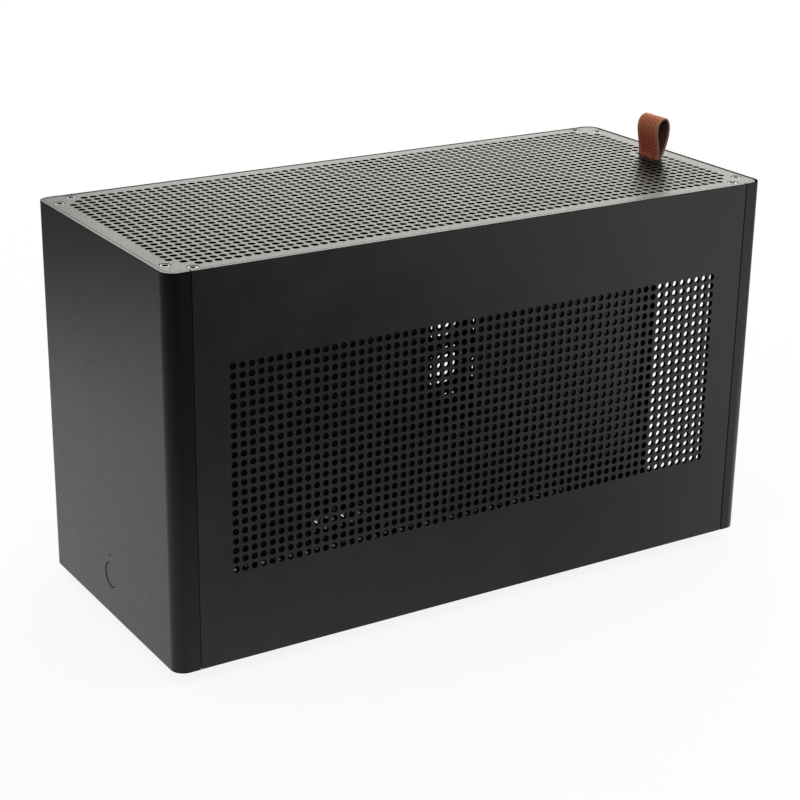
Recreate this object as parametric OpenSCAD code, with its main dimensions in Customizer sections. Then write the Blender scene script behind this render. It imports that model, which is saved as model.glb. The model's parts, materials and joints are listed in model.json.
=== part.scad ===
// Small computer case for a mini-ITX board, standing on four rubber feet.
// X runs across the case, with the board side at +X. Y runs from the front (-Y) to the rear (+Y).
// Z is up and is 0 on the surface that the feet stand on. All lengths are in millimetres.

/* [Case] */
// Length from the front face to the rear face
case_l = 322.5; // [310:0.5:340]
// Width over the two side panels
case_w = 140; // [134:0.5:150]
// Height of the shells, without the feet
case_h = 185; // [183:0.5:200]
// Sheet thickness of the shells and the side panels
wall = 2; // [1.5:0.1:2.4]
// Outer radius of the four upright corners
corner_r = 6.5; // [5:0.1:9]
// Distance from the front face back to the front seams
front_wrap = 12; // [10:0.1:16]
// Distance from the rear face forward to the rear seams
rear_wrap = 10.6; // [9:0.1:16]
// Width of the upright seams between shells and side panels
seam = 0.5; // [0.3:0.05:1]
// Gap between parts that come off and what they sit in
fit_gap = 0.3; // [0.2:0.05:0.6]

/* [Side grilles] */
// Diameter of the holes in the side panels
side_hole_d = 3; // [2:0.1:3.6]
// Pitch of the holes in the side panels, both ways
side_pitch = 4.54; // [4.2:0.02:6]
// Plain margin at the front and rear of each side grille
side_margin_y = 17; // [12:0.5:30]
// Plain margin above and below each side grille
side_margin_z = 44; // [20:0.5:60]

/* [Top cover] */
// Thickness of the top cover
cover_t = 2; // [1.5:0.1:2.4]
// Diameter of the holes in the top cover
top_hole_d = 3; // [2:0.1:3.6]
// Pitch of the top holes along the case
top_pitch_y = 4.63; // [4.2:0.01:6]
// Pitch of the top holes across the case
top_pitch_x = 4.82; // [4.2:0.01:6]
// Least distance from the front and rear faces to the first holes
top_margin_y = 10.5; // [10:0.5:20]
// Least distance from the sides to the first holes
top_margin_x = 9.5; // [9:0.5:20]
// First corner screw: distances from the inner faces of the side and the end
corner_screw_a = [11.3, 4.2];
// Second corner screw: distances from the inner faces of the side and the end
corner_screw_b = [3.4, 13.2];
// Snap stud: distances from the inner faces of the side and the end
corner_stud = [17, 15];
// Size of the square corner brackets under the cover
bracket_size = 26; // [24:0.5:32]
// Sheet thickness of the corner brackets
bracket_t = 1.5; // [1:0.1:2]

/* [Fasteners] */
// Head diameter of the countersunk screws
csk_head_d = 5.4; // [5:0.1:5.6]
// Shank diameter of the countersunk screws
csk_shank_d = 3; // [2.5:0.1:3]
// Length of the countersunk screws, head included
csk_len = 4.5; // [4:0.1:4.8]
// Diameter of the snap studs' balls
stud_ball_d = 5; // [4:0.1:5.5]
// Diameter of the snap studs' necks
stud_neck_d = 3.6; // [3:0.1:4]
// Outer diameter of the snap sockets
socket_d = 8; // [7.5:0.1:9]

/* [Pull tab] */
// Width of the strap
tab_w = 16.6; // [12:0.2:22]
// Thickness of the strap
tab_t = 1.5; // [1.4:0.1:2.2]
// Height of the loop above the cover
tab_h = 21.2; // [18:0.2:30]
// Width of the loop at its widest
tab_loop_w = 9; // [8:0.1:12]
// Lean of the loop towards the rear
tab_lean = 4; // [0:0.1:5]
// Distance from the rear face to the middle of the strap's root
tab_from_rear = 17; // [14:0.5:30]
// Offset of the strap from the middle of the case
tab_off = 1.2; // [-3:0.1:3]
// Length of strap held under the cover
tab_root = 9; // [7:0.5:12]

/* [Power button] */
// Diameter of the hole for the power button
button_hole_d = 12.6; // [12:0.1:15]
// Height of the button's centre above the case's underside
button_z = 20.4; // [18:0.1:30]
// Height of the indicator above the button's centre
led_above = 10.1; // [9.5:0.1:14]
// Diameter of the indicator's pinhole
led_hole_d = 1.2; // [1:0.1:2]
// Travel of the button
button_travel = 1; // [0.6:0.1:1.4]

/* [Rear openings] */
// Distance from the middle of the case to the near edge of the connector opening, towards the board tray
io_x0 = -6; // [-8:0.1:-4]
// Width of the connector opening
io_w = 44.5; // [44:0.1:45]
// Height of the connector opening's lower edge above the case's underside
io_z0 = 6.5; // [6:0.1:12]
// Height of the connector opening
io_h = 158.75; // [158:0.05:160]
// Position of the first expansion slot's centre
slot_x0 = -27; // [-30:0.1:-26]
// Pitch of the expansion slots
slot_pitch = 20.32; // [20:0.02:21]
// Number of expansion slots
slots = 2; // [1:1:2]
// Width of a slot opening
slot_w = 12.5; // [12:0.1:14]
// Height of a slot opening
slot_h = 104; // [100:1:108]
// Height of the slots' lower edge above the case's underside
slot_z0 = 46; // [44:0.5:52]

/* [Board tray] */
// Thickness of the inner steel sheet
steel_t = 1.2; // [1:0.1:1.5]
// Height of the board standoffs
standoff_h = 6.5; // [6:0.1:8]
// Radius of the tapped bores in the standoffs
standoff_bore_r = 1.25; // [1.2:0.05:1.4]
// Distance from the inner rear wall to the first row of standoffs
standoff_rear = 11.2; // [10:0.1:14]
// Distance from the case's underside to the lowest standoff
standoff_low = 9.4; // [9:0.1:12]
// Board hole spacing along the case
board_hole_y = 154.94; // [154:0.02:156]
// Board hole spacing up the case
board_hole_z = 157.48; // [156:0.02:158]
// Window in the tray: lowest corner from the middle of the case and its underside
window_pos = [18.8, 51];
// Window in the tray: length and height
window_size = [30.4, 60];
// Cable slot in the tray: lowest corner from the middle of the case and its underside
cable_slot_pos = [-48, 8];
// Cable slot in the tray: length and height
cable_slot_size = [30, 20];

/* [Power supply and drive] */
// Distance from the front face to the power supply bracket
psu_y = 24; // [22:0.5:30]
// Hole spacing of the power supply across the case
psu_hole_x = 51.5; // [50:0.5:52]
// Hole spacing of the power supply up the case
psu_hole_z = 113; // [110:0.5:114]
// Drive hole spacing along the case
drive_hole_y = 76.6; // [76:0.1:77]
// Drive hole spacing up the case
drive_hole_z = 61.72; // [61:0.02:62]
// Distance from the front face to the middle of the drive bracket
drive_from_front = 69.25; // [69:0.25:74]
// Height of the drive bracket's middle above the case's underside
drive_up = 92; // [80:0.5:96]

/* [Feet and vents] */
// Height of the rubber feet
foot_h = 6; // [4:0.5:8]
// Diameter of the rubber feet
foot_d = 18; // [14:0.5:24]
// Distance of the feet's centres from the sides' inner faces
foot_in_x = 20; // [18:0.5:30]
// Distance of the feet's centres from the ends' inner faces
foot_in_y = 34; // [32:0.5:50]
// Thickness of the bottom plate
bottom_t = 2; // [1.5:0.1:2.5]
// Width of the vent slots in the bottom plate
vent_w = 3; // [2:0.1:4]
// Length of the vent slots in the bottom plate
vent_l = 22; // [16:0.5:24]
// Pitch of the vent slots along the case
vent_pitch = 8; // [7:0.5:12]

/* [Hidden] */
$fn = 48;

// Levels
z_base = foot_h;
z_top = z_base + case_h;
cover_under = z_top - cover_t;
frame_lo = z_base + bottom_t;
screw_tip_gap = 0.5;
frame_hi = z_top - csk_len - screw_tip_gap;
// Inner faces of the shells
in_x = case_w / 2 - wall;
in_y = case_l / 2 - wall;
in_r = corner_r - wall;
// Inner frames: their legs stand one fit gap inside the side panels, their webs touch the shells
leg_x = in_x - fit_gap;
frame_r = in_r + 0.1;
leg_reach = 25.25;
tab_plate = 24;
// Side panels
panel_y0 = -case_l / 2 + front_wrap + seam / 2;
panel_y1 = case_l / 2 - rear_wrap - seam / 2;
panel_l = panel_y1 - panel_y0;
panel_mid = (panel_y0 + panel_y1) / 2;
side_cols = floor((panel_l - 2 * side_margin_y) / side_pitch) + 1;
side_rows = floor((case_h - 2 * side_margin_z) / side_pitch) + 1;
side_fn = 24;
// Panel studs: distance from the ends of the case, and heights
panel_stud_in = 20;
panel_stud_low = 25;
panel_stud_z = [z_base + panel_stud_low, z_top - panel_stud_low];
// Top grille
top_cols = floor((case_l - 2 * top_margin_y) / top_pitch_y) + 1;
top_rows = floor((case_w - 2 * top_margin_x) / top_pitch_x) + 1;
corner_holes_left_out = 2;
// Cover outline
cover_w = case_w - 2 * wall - 2 * fit_gap;
cover_l = case_l - 2 * wall - 2 * fit_gap;
cover_r = in_r - fit_gap;
// Snap studs and sockets
stud_len = 6;
socket_bore_d = stud_ball_d + 2 * fit_gap;
socket_flange_d = socket_d + 2.4;
socket_flange_t = frame_gap_top();
socket_len = 8;
// Pull tab
tab_y = case_l / 2 - tab_from_rear;
tab_slot_w = tab_w + 2 * fit_gap;
tab_slot_l = 2 * tab_t + 2 * fit_gap + 0.2;
tab_layer_gap = 0.1;
tab_steps = 40;
tab_shape = 1.5;
clamp_t = 1.2;
clamp_drop = tab_root - cover_t + 1;
rivet_d = 2.4;
// Power button
button_x = 0;
button_d = button_hole_d - 2 * fit_gap;
button_flange_d = button_hole_d + 2.4;
button_flange_t = 1.2;
button_back = 5.2;
button_stem_d = 4;
button_stem_l = 2.4;
button_bore_d = button_flange_d + 2 * fit_gap;
carrier_d = button_bore_d + 4;
carrier_depth = 12;
carrier_ear = 16;
carrier_ear_t = 2;
switch_body = 6;
switch_h = 3.4;
board_t = 1.6;
zc_button = z_base + button_z;
zc_led = zc_button + led_above;
// Rear openings
io_margin = 5;
slot_top = slot_z0 + slot_h;
slot_plate_w = 18.4;
slot_plate_t = 0.9;
slot_lap = 4;
slot_screw_up = 3;
// Power inlet
inlet_z = z_base + 22;
inlet_w = 27.4;
inlet_h = 20;
inlet_flange_w = 48;
inlet_flange_h = 24;
inlet_flange_t = 3;
inlet_depth = 22;
inlet_cavity_w = 24.4;
inlet_cavity_h = 16.6;
inlet_cavity_l = 16;
inlet_screw_pitch = 40;
inlet_gap = 0.2;
// The flange starts where the shell's rounded inner corner ends
inlet_x = -in_x + in_r + fit_gap + inlet_flange_w / 2;
pin_w = 4;
pin_t = 2;
pin_pitch = 14;
pin_rise = 4;
pin_len = 13;
// Board tray
tray_x = io_x0 + 2.5 - 1.6 - standoff_h;
tray_back = tray_x - steel_t;
tray_flange = 12;
tray_y0 = -in_y + steel_t;
tray_y1 = in_y - steel_t;
tray_hi = frame_hi - 2;
tray_flange_hi = tray_hi - 4;
tray_rear_lo = z_base + slot_top + 2 * slot_screw_up + 3;
tray_foot_l = 2 * in_y - 2 * foot_in_y + 6;
// Notch in the tray's lower front corner, clear of the button's carrier
tray_notch_l = steel_t + carrier_depth + board_t + 6;
tray_notch_hi = zc_led + 12;
standoff_d = 6;
standoff_y = [in_y - standoff_rear, in_y - standoff_rear - board_hole_y];
standoff_z = [z_base + standoff_low, z_base + standoff_low + board_hole_z];
// Power supply bracket
psu_x = (tray_x + leg_x) / 2;
psu_z = (frame_lo + frame_hi) / 2;
psu_plate_w = 66;
psu_plate_h = 134;
psu_hole_r = 1.75;
psu_cut_w = psu_hole_x - 8;
psu_cut_h = psu_hole_z - 10;
psu_flange = 14;
// Drive bracket
drive_x = tray_back - 12;
drive_y = -case_l / 2 + drive_from_front;
drive_z = z_base + drive_up;
drive_plate_l = drive_hole_y + 24;
drive_plate_h = drive_hole_z + 14;
drive_hole_r = 1.6;
drive_foot = 12;
// Small screws
small_head_d = 5;
small_head_h = 1.8;
small_shank_d = 2.9;
small_bore_gap = 0.1;

// Room between the frames' top edge and the brackets, taken up by the sockets' flanges
function frame_gap_top() = cover_under - bracket_t - frame_hi - fit_gap;

// Signs of the four corners
corners = [[1, -1], [1, 1], [-1, -1], [-1, 1]];

module rounded(w, l, r) {
  square([w - 2 * r, l], center = true);
  square([w, l - 2 * r], center = true);
  for (sx = [-1, 1], sy = [-1, 1])
    translate([sx * (w / 2 - r), sy * (l / 2 - r)]) circle(r = r);
}

// A stadium-shaped slot along X
module stadium(l, d) {
  square([l - d, d], center = true);
  for (s = [-1, 1]) translate([s * (l - d) / 2, 0]) circle(d = d, $fn = 24);
}

// Places its children in each corner, at distances from the inner faces of the side and the end
module at_corners(p) {
  for (c = corners)
    translate([c[0] * (in_x - p[0]), c[1] * (in_y - p[1])]) children();
}

// Countersunk screw with its head's face at z = 0, pointing down
module csk_screw(len = csk_len) {
  difference() {
    union() {
      translate([0, 0, -(csk_head_d - csk_shank_d) / 2])
        cylinder(d1 = csk_shank_d, d2 = csk_head_d, h = (csk_head_d - csk_shank_d) / 2);
      translate([0, 0, -len]) cylinder(d = csk_shank_d, h = len - (csk_head_d - csk_shank_d) / 2);
    }
    translate([0, 0, -1.2]) cylinder(d = 2.3, h = 2, $fn = 6);
  }
}

// The hole that a countersunk screw sits in, a little wider than the screw all round
module csk_hole(depth) {
  gap = 2 * small_bore_gap;
  cone_h = (csk_head_d - csk_shank_d) / 2;
  translate([0, 0, -cone_h]) cylinder(d1 = csk_shank_d + gap, d2 = csk_head_d + gap, h = cone_h);
  translate([0, 0, -0.01]) cylinder(d = csk_head_d + gap, h = 1);
  translate([0, 0, -depth - 1]) cylinder(d = csk_shank_d + gap, h = depth + 1);
}

// Pan-head screw with the underside of its head at z = 0, pointing down
module pan_screw(len) {
  difference() {
    union() {
      cylinder(d = small_head_d, h = small_head_h);
      translate([0, 0, -len]) cylinder(d = small_shank_d, h = len);
    }
    translate([0, 0, small_head_h - 1.1]) cylinder(d = 2.2, h = 2, $fn = 6);
  }
}

// Snap stud that hangs down from z = 0
module stud() {
  translate([0, 0, -stud_len]) cylinder(d = stud_neck_d, h = stud_len);
  translate([0, 0, -stud_len]) sphere(d = stud_ball_d);
}

// Snap socket: its flange lies on z = 0 and its sleeve hangs below
module socket(flange_t) {
  difference() {
    union() {
      cylinder(d = socket_flange_d, h = flange_t);
      translate([0, 0, -socket_len]) cylinder(d = socket_d, h = socket_len);
    }
    translate([0, 0, -socket_len - 1]) cylinder(d = socket_bore_d, h = socket_len + flange_t + 2);
  }
}

// Places its children on the inner face of a side panel, pointing inwards
module at_panel_studs(side) {
  for (sy = [-1, 1], z = panel_stud_z)
    translate([side * in_x, sy * (case_l / 2 - panel_stud_in), z]) rotate([0, side * 90, 0]) children();
}

// One end shell: the outline of the case cut off behind its wrap
module end_shell_wall(sign, wrap) {
  translate([0, 0, z_base]) linear_extrude(height = case_h) difference() {
    rounded(case_w, case_l, corner_r);
    rounded(2 * in_x, 2 * in_y, in_r);
    translate([0, -sign * wrap]) square([case_w + 2, case_l], center = true);
  }
}

module front_shell() {
  color([0.08, 0.08, 0.085]) difference() {
    end_shell_wall(-1, front_wrap - seam / 2);
    translate([button_x, -case_l / 2 - 1, zc_button]) rotate([-90, 0, 0])
      cylinder(d = button_hole_d, h = wall + 2);
    translate([button_x, -case_l / 2 - 1, zc_led]) rotate([-90, 0, 0])
      cylinder(d = led_hole_d, h = wall + 2, $fn = 24);
  }
}

module rear_shell() {
  color([0.08, 0.08, 0.085]) difference() {
    end_shell_wall(1, rear_wrap - seam / 2);
    rear_cuts(0);
    translate([inlet_x - inlet_w / 2, in_y - 1, inlet_z - inlet_h / 2]) cube([inlet_w, wall + 2, inlet_h]);
    at_inlet_screws() csk_hole(wall);
  }
}

// Connector opening and slots, grown by a margin
module rear_cuts(grow) {
  translate([io_x0 - grow, in_y - 10, z_base + io_z0 - grow])
    cube([io_w + 2 * grow, wall + 20, io_h + 2 * grow]);
  for (k = [0:slots - 1])
    translate([slot_x0 - k * slot_pitch - slot_w / 2, in_y - 10, z_base + slot_z0])
      cube([slot_w, wall + 20, slot_h]);
}

module at_inlet_screws() {
  for (s = [-1, 1])
    translate([inlet_x + s * inlet_screw_pitch / 2, case_l / 2, inlet_z]) rotate([-90, 0, 0]) children();
}

// Perforated side panel, drawn in its own plane: x along the case, y up
module panel_sheet() {
  difference() {
    translate([panel_y0, 0]) square([panel_l, case_h]);
    for (i = [0:side_cols - 1], j = [0:side_rows - 1])
      translate([
        panel_mid + (i - (side_cols - 1) / 2) * side_pitch,
        case_h / 2 + (j - (side_rows - 1) / 2) * side_pitch
      ]) circle(d = side_hole_d, $fn = side_fn);
  }
}

module side_panel(x0) {
  color([0.09, 0.09, 0.095]) translate([x0, 0, z_base]) rotate([90, 0, 90])
    linear_extrude(height = wall) panel_sheet();
}

module right_side_panel() {
  side_panel(in_x);
}

module left_side_panel() {
  side_panel(-case_w / 2);
}

// Whether the top grille leaves out a hole: three in each corner, and those that the tab's slot meets
function corner_hole(i, j) =
  min(i, top_cols - 1 - i) + min(j, top_rows - 1 - j) < corner_holes_left_out;
function near_tab(x, y) =
  abs(x - tab_off) < tab_slot_w / 2 + top_hole_d / 2 + 0.2
  && abs(y - tab_y) < tab_slot_l / 2 + top_hole_d / 2 + 0.2;

module top_cover() {
  color([0.1, 0.1, 0.105]) difference() {
    translate([0, 0, cover_under]) linear_extrude(height = cover_t) difference() {
      rounded(cover_w, cover_l, cover_r);
      for (i = [0:top_cols - 1], j = [0:top_rows - 1]) {
        x = (j - (top_rows - 1) / 2) * top_pitch_x;
        y = (i - (top_cols - 1) / 2) * top_pitch_y;
        if (!corner_hole(i, j) && !near_tab(x, y))
          translate([x, y]) circle(d = top_hole_d, $fn = side_fn);
      }
      translate([tab_off, tab_y]) square([tab_slot_w, tab_slot_l], center = true);
    }
    for (p = [corner_screw_a, corner_screw_b])
      translate([0, 0, z_top]) at_corners(p) csk_hole(cover_t);
  }
}

module bottom_plate() {
  vent_rows = floor((2 * in_y - 2 * foot_in_y - foot_d - vent_w - 4) / vent_pitch);
  vent_step = vent_l + 5;
  color([0.1, 0.1, 0.105]) difference() {
    translate([0, 0, z_base]) linear_extrude(height = bottom_t) difference() {
      rounded(cover_w, cover_l, cover_r);
      for (i = [0:vent_rows - 1], j = [-1.5:1:1.5])
        translate([j * vent_step, (i - (vent_rows - 1) / 2) * vent_pitch]) stadium(vent_l, vent_w);
    }
    for (p = [corner_screw_a, corner_screw_b])
      translate([0, 0, z_base]) at_corners(p) mirror([0, 0, 1]) csk_hole(bottom_t);
    translate([0, 0, z_base - 1]) at_corners([foot_in_x, foot_in_y])
      cylinder(d = small_shank_d + 2 * small_bore_gap, h = bottom_t + 2);
    at_tray_foot_screws() cylinder(d = small_shank_d + 2 * small_bore_gap, h = 4 * bottom_t, center = true);
  }
}

// One inner frame: a web behind the end shell, two legs behind the side panels, and corner plates
module end_frame(sign) {
  legs_y = case_l / 2 - leg_reach;
  difference() {
    union() {
      translate([0, 0, frame_lo]) linear_extrude(height = frame_hi - frame_lo) difference() {
        rounded(2 * leg_x, 2 * in_y, frame_r);
        rounded(2 * (leg_x - steel_t), 2 * (in_y - steel_t), frame_r - steel_t);
        translate([0, -sign * (case_l / 2 - legs_y)]) square([case_w + 2, case_l], center = true);
      }
      for (z = [frame_lo, frame_hi - steel_t])
        translate([0, 0, z]) linear_extrude(height = steel_t) intersection() {
          rounded(2 * leg_x, 2 * in_y, frame_r);
          for (s = [-1, 1])
            translate([s * (in_x - tab_plate / 2), sign * (in_y - tab_plate / 2)])
              square(tab_plate, center = true);
        }
    }
    at_corners(corner_stud) translate([0, 0, frame_hi - steel_t - 1])
      cylinder(d = socket_d + 2 * small_bore_gap, h = steel_t + 2);
    for (p = [corner_screw_a, corner_screw_b])
      at_corners(p) translate([0, 0, frame_lo - 1])
        cylinder(d = csk_shank_d + 2 * small_bore_gap, h = steel_t + 2);
    for (side = [-1, 1]) at_panel_studs(side)
      translate([0, 0, -steel_t - 2]) cylinder(d = socket_d + 2 * small_bore_gap, h = steel_t + 4);
    at_tray_screws(sign) cylinder(d = small_shank_d + 2 * small_bore_gap, h = 4 * steel_t, center = true);
  }
}

// Screws that hold the tray's end flanges to the frames, pointing outwards along Y.
// The rear one sits in the middle of its flange, clear of the slot covers.
module at_tray_screws(sign) {
  for (z = (sign < 0) ? [tray_notch_hi + 12, tray_flange_hi - 8] : [(tray_rear_lo + tray_flange_hi) / 2])
    translate([tray_back - tray_flange / 2, sign * (in_y - 2 * steel_t), z])
      rotate([sign * 90, 0, 0]) children();
}

// Screws that hold the tray's foot to the bottom plate, pointing down
module at_tray_foot_screws() {
  for (s = [-1, 1])
    translate([tray_back - tray_flange / 2, s * (tray_foot_l / 2 - 10), frame_lo + steel_t]) children();
}

module front_frame() {
  color([0.16, 0.16, 0.17]) difference() {
    end_frame(-1);
    translate([button_x, -in_y - 1, zc_button]) rotate([-90, 0, 0])
      cylinder(d = button_bore_d, h = steel_t + 2);
    translate([button_x, -in_y - 1, zc_led]) rotate([-90, 0, 0])
      cylinder(d = led_pipe_d() + 2 * small_bore_gap, h = steel_t + 2);
    at_carrier_screws()
      cylinder(d = carrier_screw_d() + 2 * small_bore_gap, h = 2 * carrier_depth, center = true);
  }
}

module rear_frame() {
  inlet_hi = inlet_x + inlet_flange_w / 2 + 1;
  color([0.16, 0.16, 0.17]) difference() {
    end_frame(1);
    translate([io_x0 - io_margin, in_y - 10, z_base + io_z0 - 2])
      cube([io_w + 2 * io_margin, wall + 20, io_h + 2 + io_margin]);
    for (k = [0:slots - 1])
      translate([slot_x0 - k * slot_pitch - slot_w / 2, in_y - 6, z_base + slot_z0])
        cube([slot_w, wall + 10, slot_h]);
    translate([-leg_x + steel_t, in_y - 10, inlet_z - inlet_flange_h / 2 - 1])
      cube([inlet_hi + leg_x - steel_t, 20, inlet_flange_h + 2]);
    at_slot_screws() cylinder(d = small_shank_d + 2 * small_bore_gap, h = 10, center = true);
  }
}

// Screws above the slots, pointing to the rear
module at_slot_screws() {
  for (k = [0:slots - 1])
    translate([slot_x0 - k * slot_pitch, in_y - steel_t - slot_plate_t, z_base + slot_top + slot_screw_up])
      rotate([90, 0, 0]) children();
}

// Blank covers behind the expansion slots
module slot_covers() {
  color([0.16, 0.16, 0.17]) difference() {
    for (k = [0:slots - 1])
      translate([
        slot_x0 - k * slot_pitch - slot_plate_w / 2,
        in_y - steel_t - slot_plate_t,
        z_base + slot_z0 - slot_lap
      ]) cube([slot_plate_w, slot_plate_t, slot_h + slot_lap + 2 * slot_screw_up]);
    at_slot_screws() cylinder(d = small_shank_d + 2 * small_bore_gap, h = 6, center = true);
  }
}

module slot_screws() {
  color([0.5, 0.5, 0.52]) at_slot_screws() pan_screw(slot_plate_t + steel_t);
}

// Board tray: an upright sheet between the frames with a bent flange at each end and along its foot
module board_tray() {
  color([0.14, 0.14, 0.15]) difference() {
    union() {
      translate([tray_back, tray_y0, frame_lo]) cube([steel_t, tray_y1 - tray_y0, tray_hi - frame_lo]);
      translate([tray_back - tray_flange, tray_y0, tray_notch_hi + 4])
        cube([tray_flange + steel_t / 2, steel_t, tray_flange_hi - tray_notch_hi - 4]);
      translate([tray_back - tray_flange, tray_y1 - steel_t, tray_rear_lo])
        cube([tray_flange + steel_t / 2, steel_t, tray_flange_hi - tray_rear_lo]);
      translate([tray_back - tray_flange, -tray_foot_l / 2, frame_lo])
        cube([tray_flange + steel_t / 2, tray_foot_l, steel_t]);
    }
    translate([tray_back - 1, tray_y0 - 1, frame_lo - 1])
      cube([steel_t + 2, tray_notch_l + 1, tray_notch_hi - frame_lo + 1]);
    at_tray_foot_screws() cylinder(d = small_shank_d + 2 * small_bore_gap, h = 4 * steel_t, center = true);
    translate([tray_back - 1, window_pos[0], z_base + window_pos[1]])
      cube([steel_t + 2, window_size[0], window_size[1]]);
    translate([tray_back - 1, cable_slot_pos[0], z_base + cable_slot_pos[1]])
      cube([steel_t + 2, cable_slot_size[0], cable_slot_size[1]]);
    at_standoffs() cylinder(d = 3.2 + 2 * small_bore_gap, h = 4 * steel_t, center = true);
    for (sign = [-1, 1]) at_tray_screws(sign)
      cylinder(d = small_shank_d + 2 * small_bore_gap, h = 4 * steel_t, center = true);
    at_psu_screws() cylinder(d = small_shank_d + 2 * small_bore_gap, h = 4 * steel_t, center = true);
    at_drive_screws() cylinder(d = small_shank_d + 2 * small_bore_gap, h = 4 * steel_t, center = true);
  }
}

// The standoffs stand on the tray and point to +X
module at_standoffs() {
  for (y = standoff_y, z = standoff_z) translate([tray_x, y, z]) rotate([0, 90, 0]) children();
}

module board_standoffs() {
  color([0.75, 0.62, 0.3]) at_standoffs() difference() {
    union() {
      cylinder(d = standoff_d, h = standoff_h, $fn = 6);
      translate([0, 0, -steel_t]) cylinder(d = 3.2, h = steel_t);
    }
    translate([0, 0, standoff_h - 5]) cylinder(r = standoff_bore_r, h = 6);
  }
}

module tray_screws() {
  color([0.5, 0.5, 0.52]) {
    for (sign = [-1, 1]) at_tray_screws(sign) pan_screw(2 * steel_t);
    at_tray_foot_screws() pan_screw(steel_t + bottom_t);
  }
}

// Power supply bracket: a plate across the board side with a flange on the tray
module psu_bracket() {
  y = -case_l / 2 + psu_y;
  color([0.16, 0.16, 0.17]) difference() {
    union() {
      translate([tray_x, y, psu_z - psu_plate_h / 2])
        cube([psu_x - tray_x + psu_plate_w / 2, steel_t, psu_plate_h]);
      translate([tray_x, y, psu_z - psu_plate_h / 2]) cube([steel_t, psu_flange, psu_plate_h]);
    }
    translate([psu_x - psu_cut_w / 2, y - 1, psu_z - psu_cut_h / 2])
      cube([psu_cut_w, steel_t + 2, psu_cut_h]);
    at_psu_holes() cylinder(r = psu_hole_r, h = 4 * steel_t, center = true);
    at_psu_screws() cylinder(d = small_shank_d + 2 * small_bore_gap, h = 4 * steel_t, center = true);
  }
}

module at_psu_holes() {
  for (sx = [-1, 1], sz = [-1, 1])
    translate([psu_x + sx * psu_hole_x / 2, -case_l / 2 + psu_y + steel_t / 2, psu_z + sz * psu_hole_z / 2])
      rotate([90, 0, 0]) children();
}

// Screws through the bracket's flange into the tray, heads on the board side
module at_psu_screws() {
  for (s = [-1, 1])
    translate([tray_x + steel_t, -case_l / 2 + psu_y + psu_flange - 5, psu_z + s * (psu_plate_h / 2 - 12)])
      rotate([0, 90, 0]) children();
}

module psu_bracket_screws() {
  color([0.5, 0.5, 0.52]) at_psu_screws() pan_screw(2 * steel_t);
}

// Drive bracket: a plate that stands off the tray's far side on two bent feet
module drive_bracket() {
  color([0.16, 0.16, 0.17]) difference() {
    union() {
      translate([drive_x, drive_y - drive_plate_l / 2, drive_z - drive_plate_h / 2])
        cube([steel_t, drive_plate_l, drive_plate_h]);
      for (s = [-1, 1]) {
        translate([
          drive_x,
          drive_y + s * (drive_plate_l / 2 - steel_t / 2) - steel_t / 2,
          drive_z - drive_plate_h / 2
        ])
          cube([tray_back - drive_x, steel_t, drive_plate_h]);
        translate([
          tray_back - steel_t,
          drive_y + s * (drive_plate_l / 2 + drive_foot / 2 - steel_t / 2) - drive_foot / 2,
          drive_z - drive_plate_h / 2
        ]) cube([steel_t, drive_foot, drive_plate_h]);
      }
    }
    for (sy = [-1, 1], sz = [-1, 1])
      translate([drive_x, drive_y + sy * drive_hole_y / 2, drive_z + sz * drive_hole_z / 2])
        rotate([0, 90, 0])
        cylinder(r = drive_hole_r, h = 4 * steel_t, center = true);
    at_drive_screws() cylinder(d = small_shank_d + 2 * small_bore_gap, h = 6 * steel_t, center = true);
  }
}

// Screws through the bracket's feet into the tray, heads on the far side
module at_drive_screws() {
  for (sy = [-1, 1], sz = [-1, 1])
    translate([
      tray_back - steel_t,
      drive_y + sy * (drive_plate_l / 2 + drive_foot / 2),
      drive_z + sz * (drive_plate_h / 2 - 12)
    ]) rotate([0, -90, 0]) children();
}

module drive_bracket_screws() {
  color([0.5, 0.5, 0.52]) at_drive_screws() pan_screw(2 * steel_t);
}

// Brackets under the corners of the cover, which carry the snap studs
module cover_brackets() {
  inset = 0.6;
  color([0.2, 0.2, 0.21]) difference() {
    translate([0, 0, cover_under - bracket_t]) linear_extrude(height = bracket_t) intersection() {
      rounded(2 * (in_x - inset), 2 * (in_y - inset), in_r - inset);
      for (c = corners)
        translate([c[0] * (case_w / 2 - bracket_size / 2), c[1] * (case_l / 2 - bracket_size / 2)])
          square(bracket_size, center = true);
    }
    for (p = [corner_screw_a, corner_screw_b])
      at_corners(p) translate([0, 0, cover_under - bracket_t - 1])
        cylinder(d = csk_shank_d + 2 * small_bore_gap, h = bracket_t + 2);
  }
}

module cover_studs() {
  color([0.7, 0.7, 0.72]) translate([0, 0, cover_under - bracket_t]) at_corners(corner_stud) stud();
}

module cover_screws() {
  color([0.7, 0.7, 0.72]) for (p = [corner_screw_a, corner_screw_b])
    translate([0, 0, z_top]) at_corners(p) csk_screw();
}

module cover_sockets() {
  color([0.9, 0.9, 0.88]) translate([0, 0, frame_hi]) at_corners(corner_stud) socket(socket_flange_t);
}

module right_panel_studs() {
  color([0.7, 0.7, 0.72]) at_panel_studs(1) stud();
}

module left_panel_studs() {
  color([0.7, 0.7, 0.72]) at_panel_studs(-1) stud();
}

// Sockets in the frames' legs, their flanges on the inner side and their sleeves pointing inwards
module panel_sockets() {
  color([0.9, 0.9, 0.88]) for (side = [-1, 1]) at_panel_studs(side)
    translate([0, 0, -fit_gap]) difference() {
      union() {
        translate([0, 0, -socket_len]) cylinder(d = socket_d, h = socket_len);
        translate([0, 0, -steel_t - 1.2]) cylinder(d = socket_flange_d, h = 1.2);
      }
      translate([0, 0, -socket_len - 1]) cylinder(d = socket_bore_d, h = socket_len + 2);
    }
}

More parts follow.
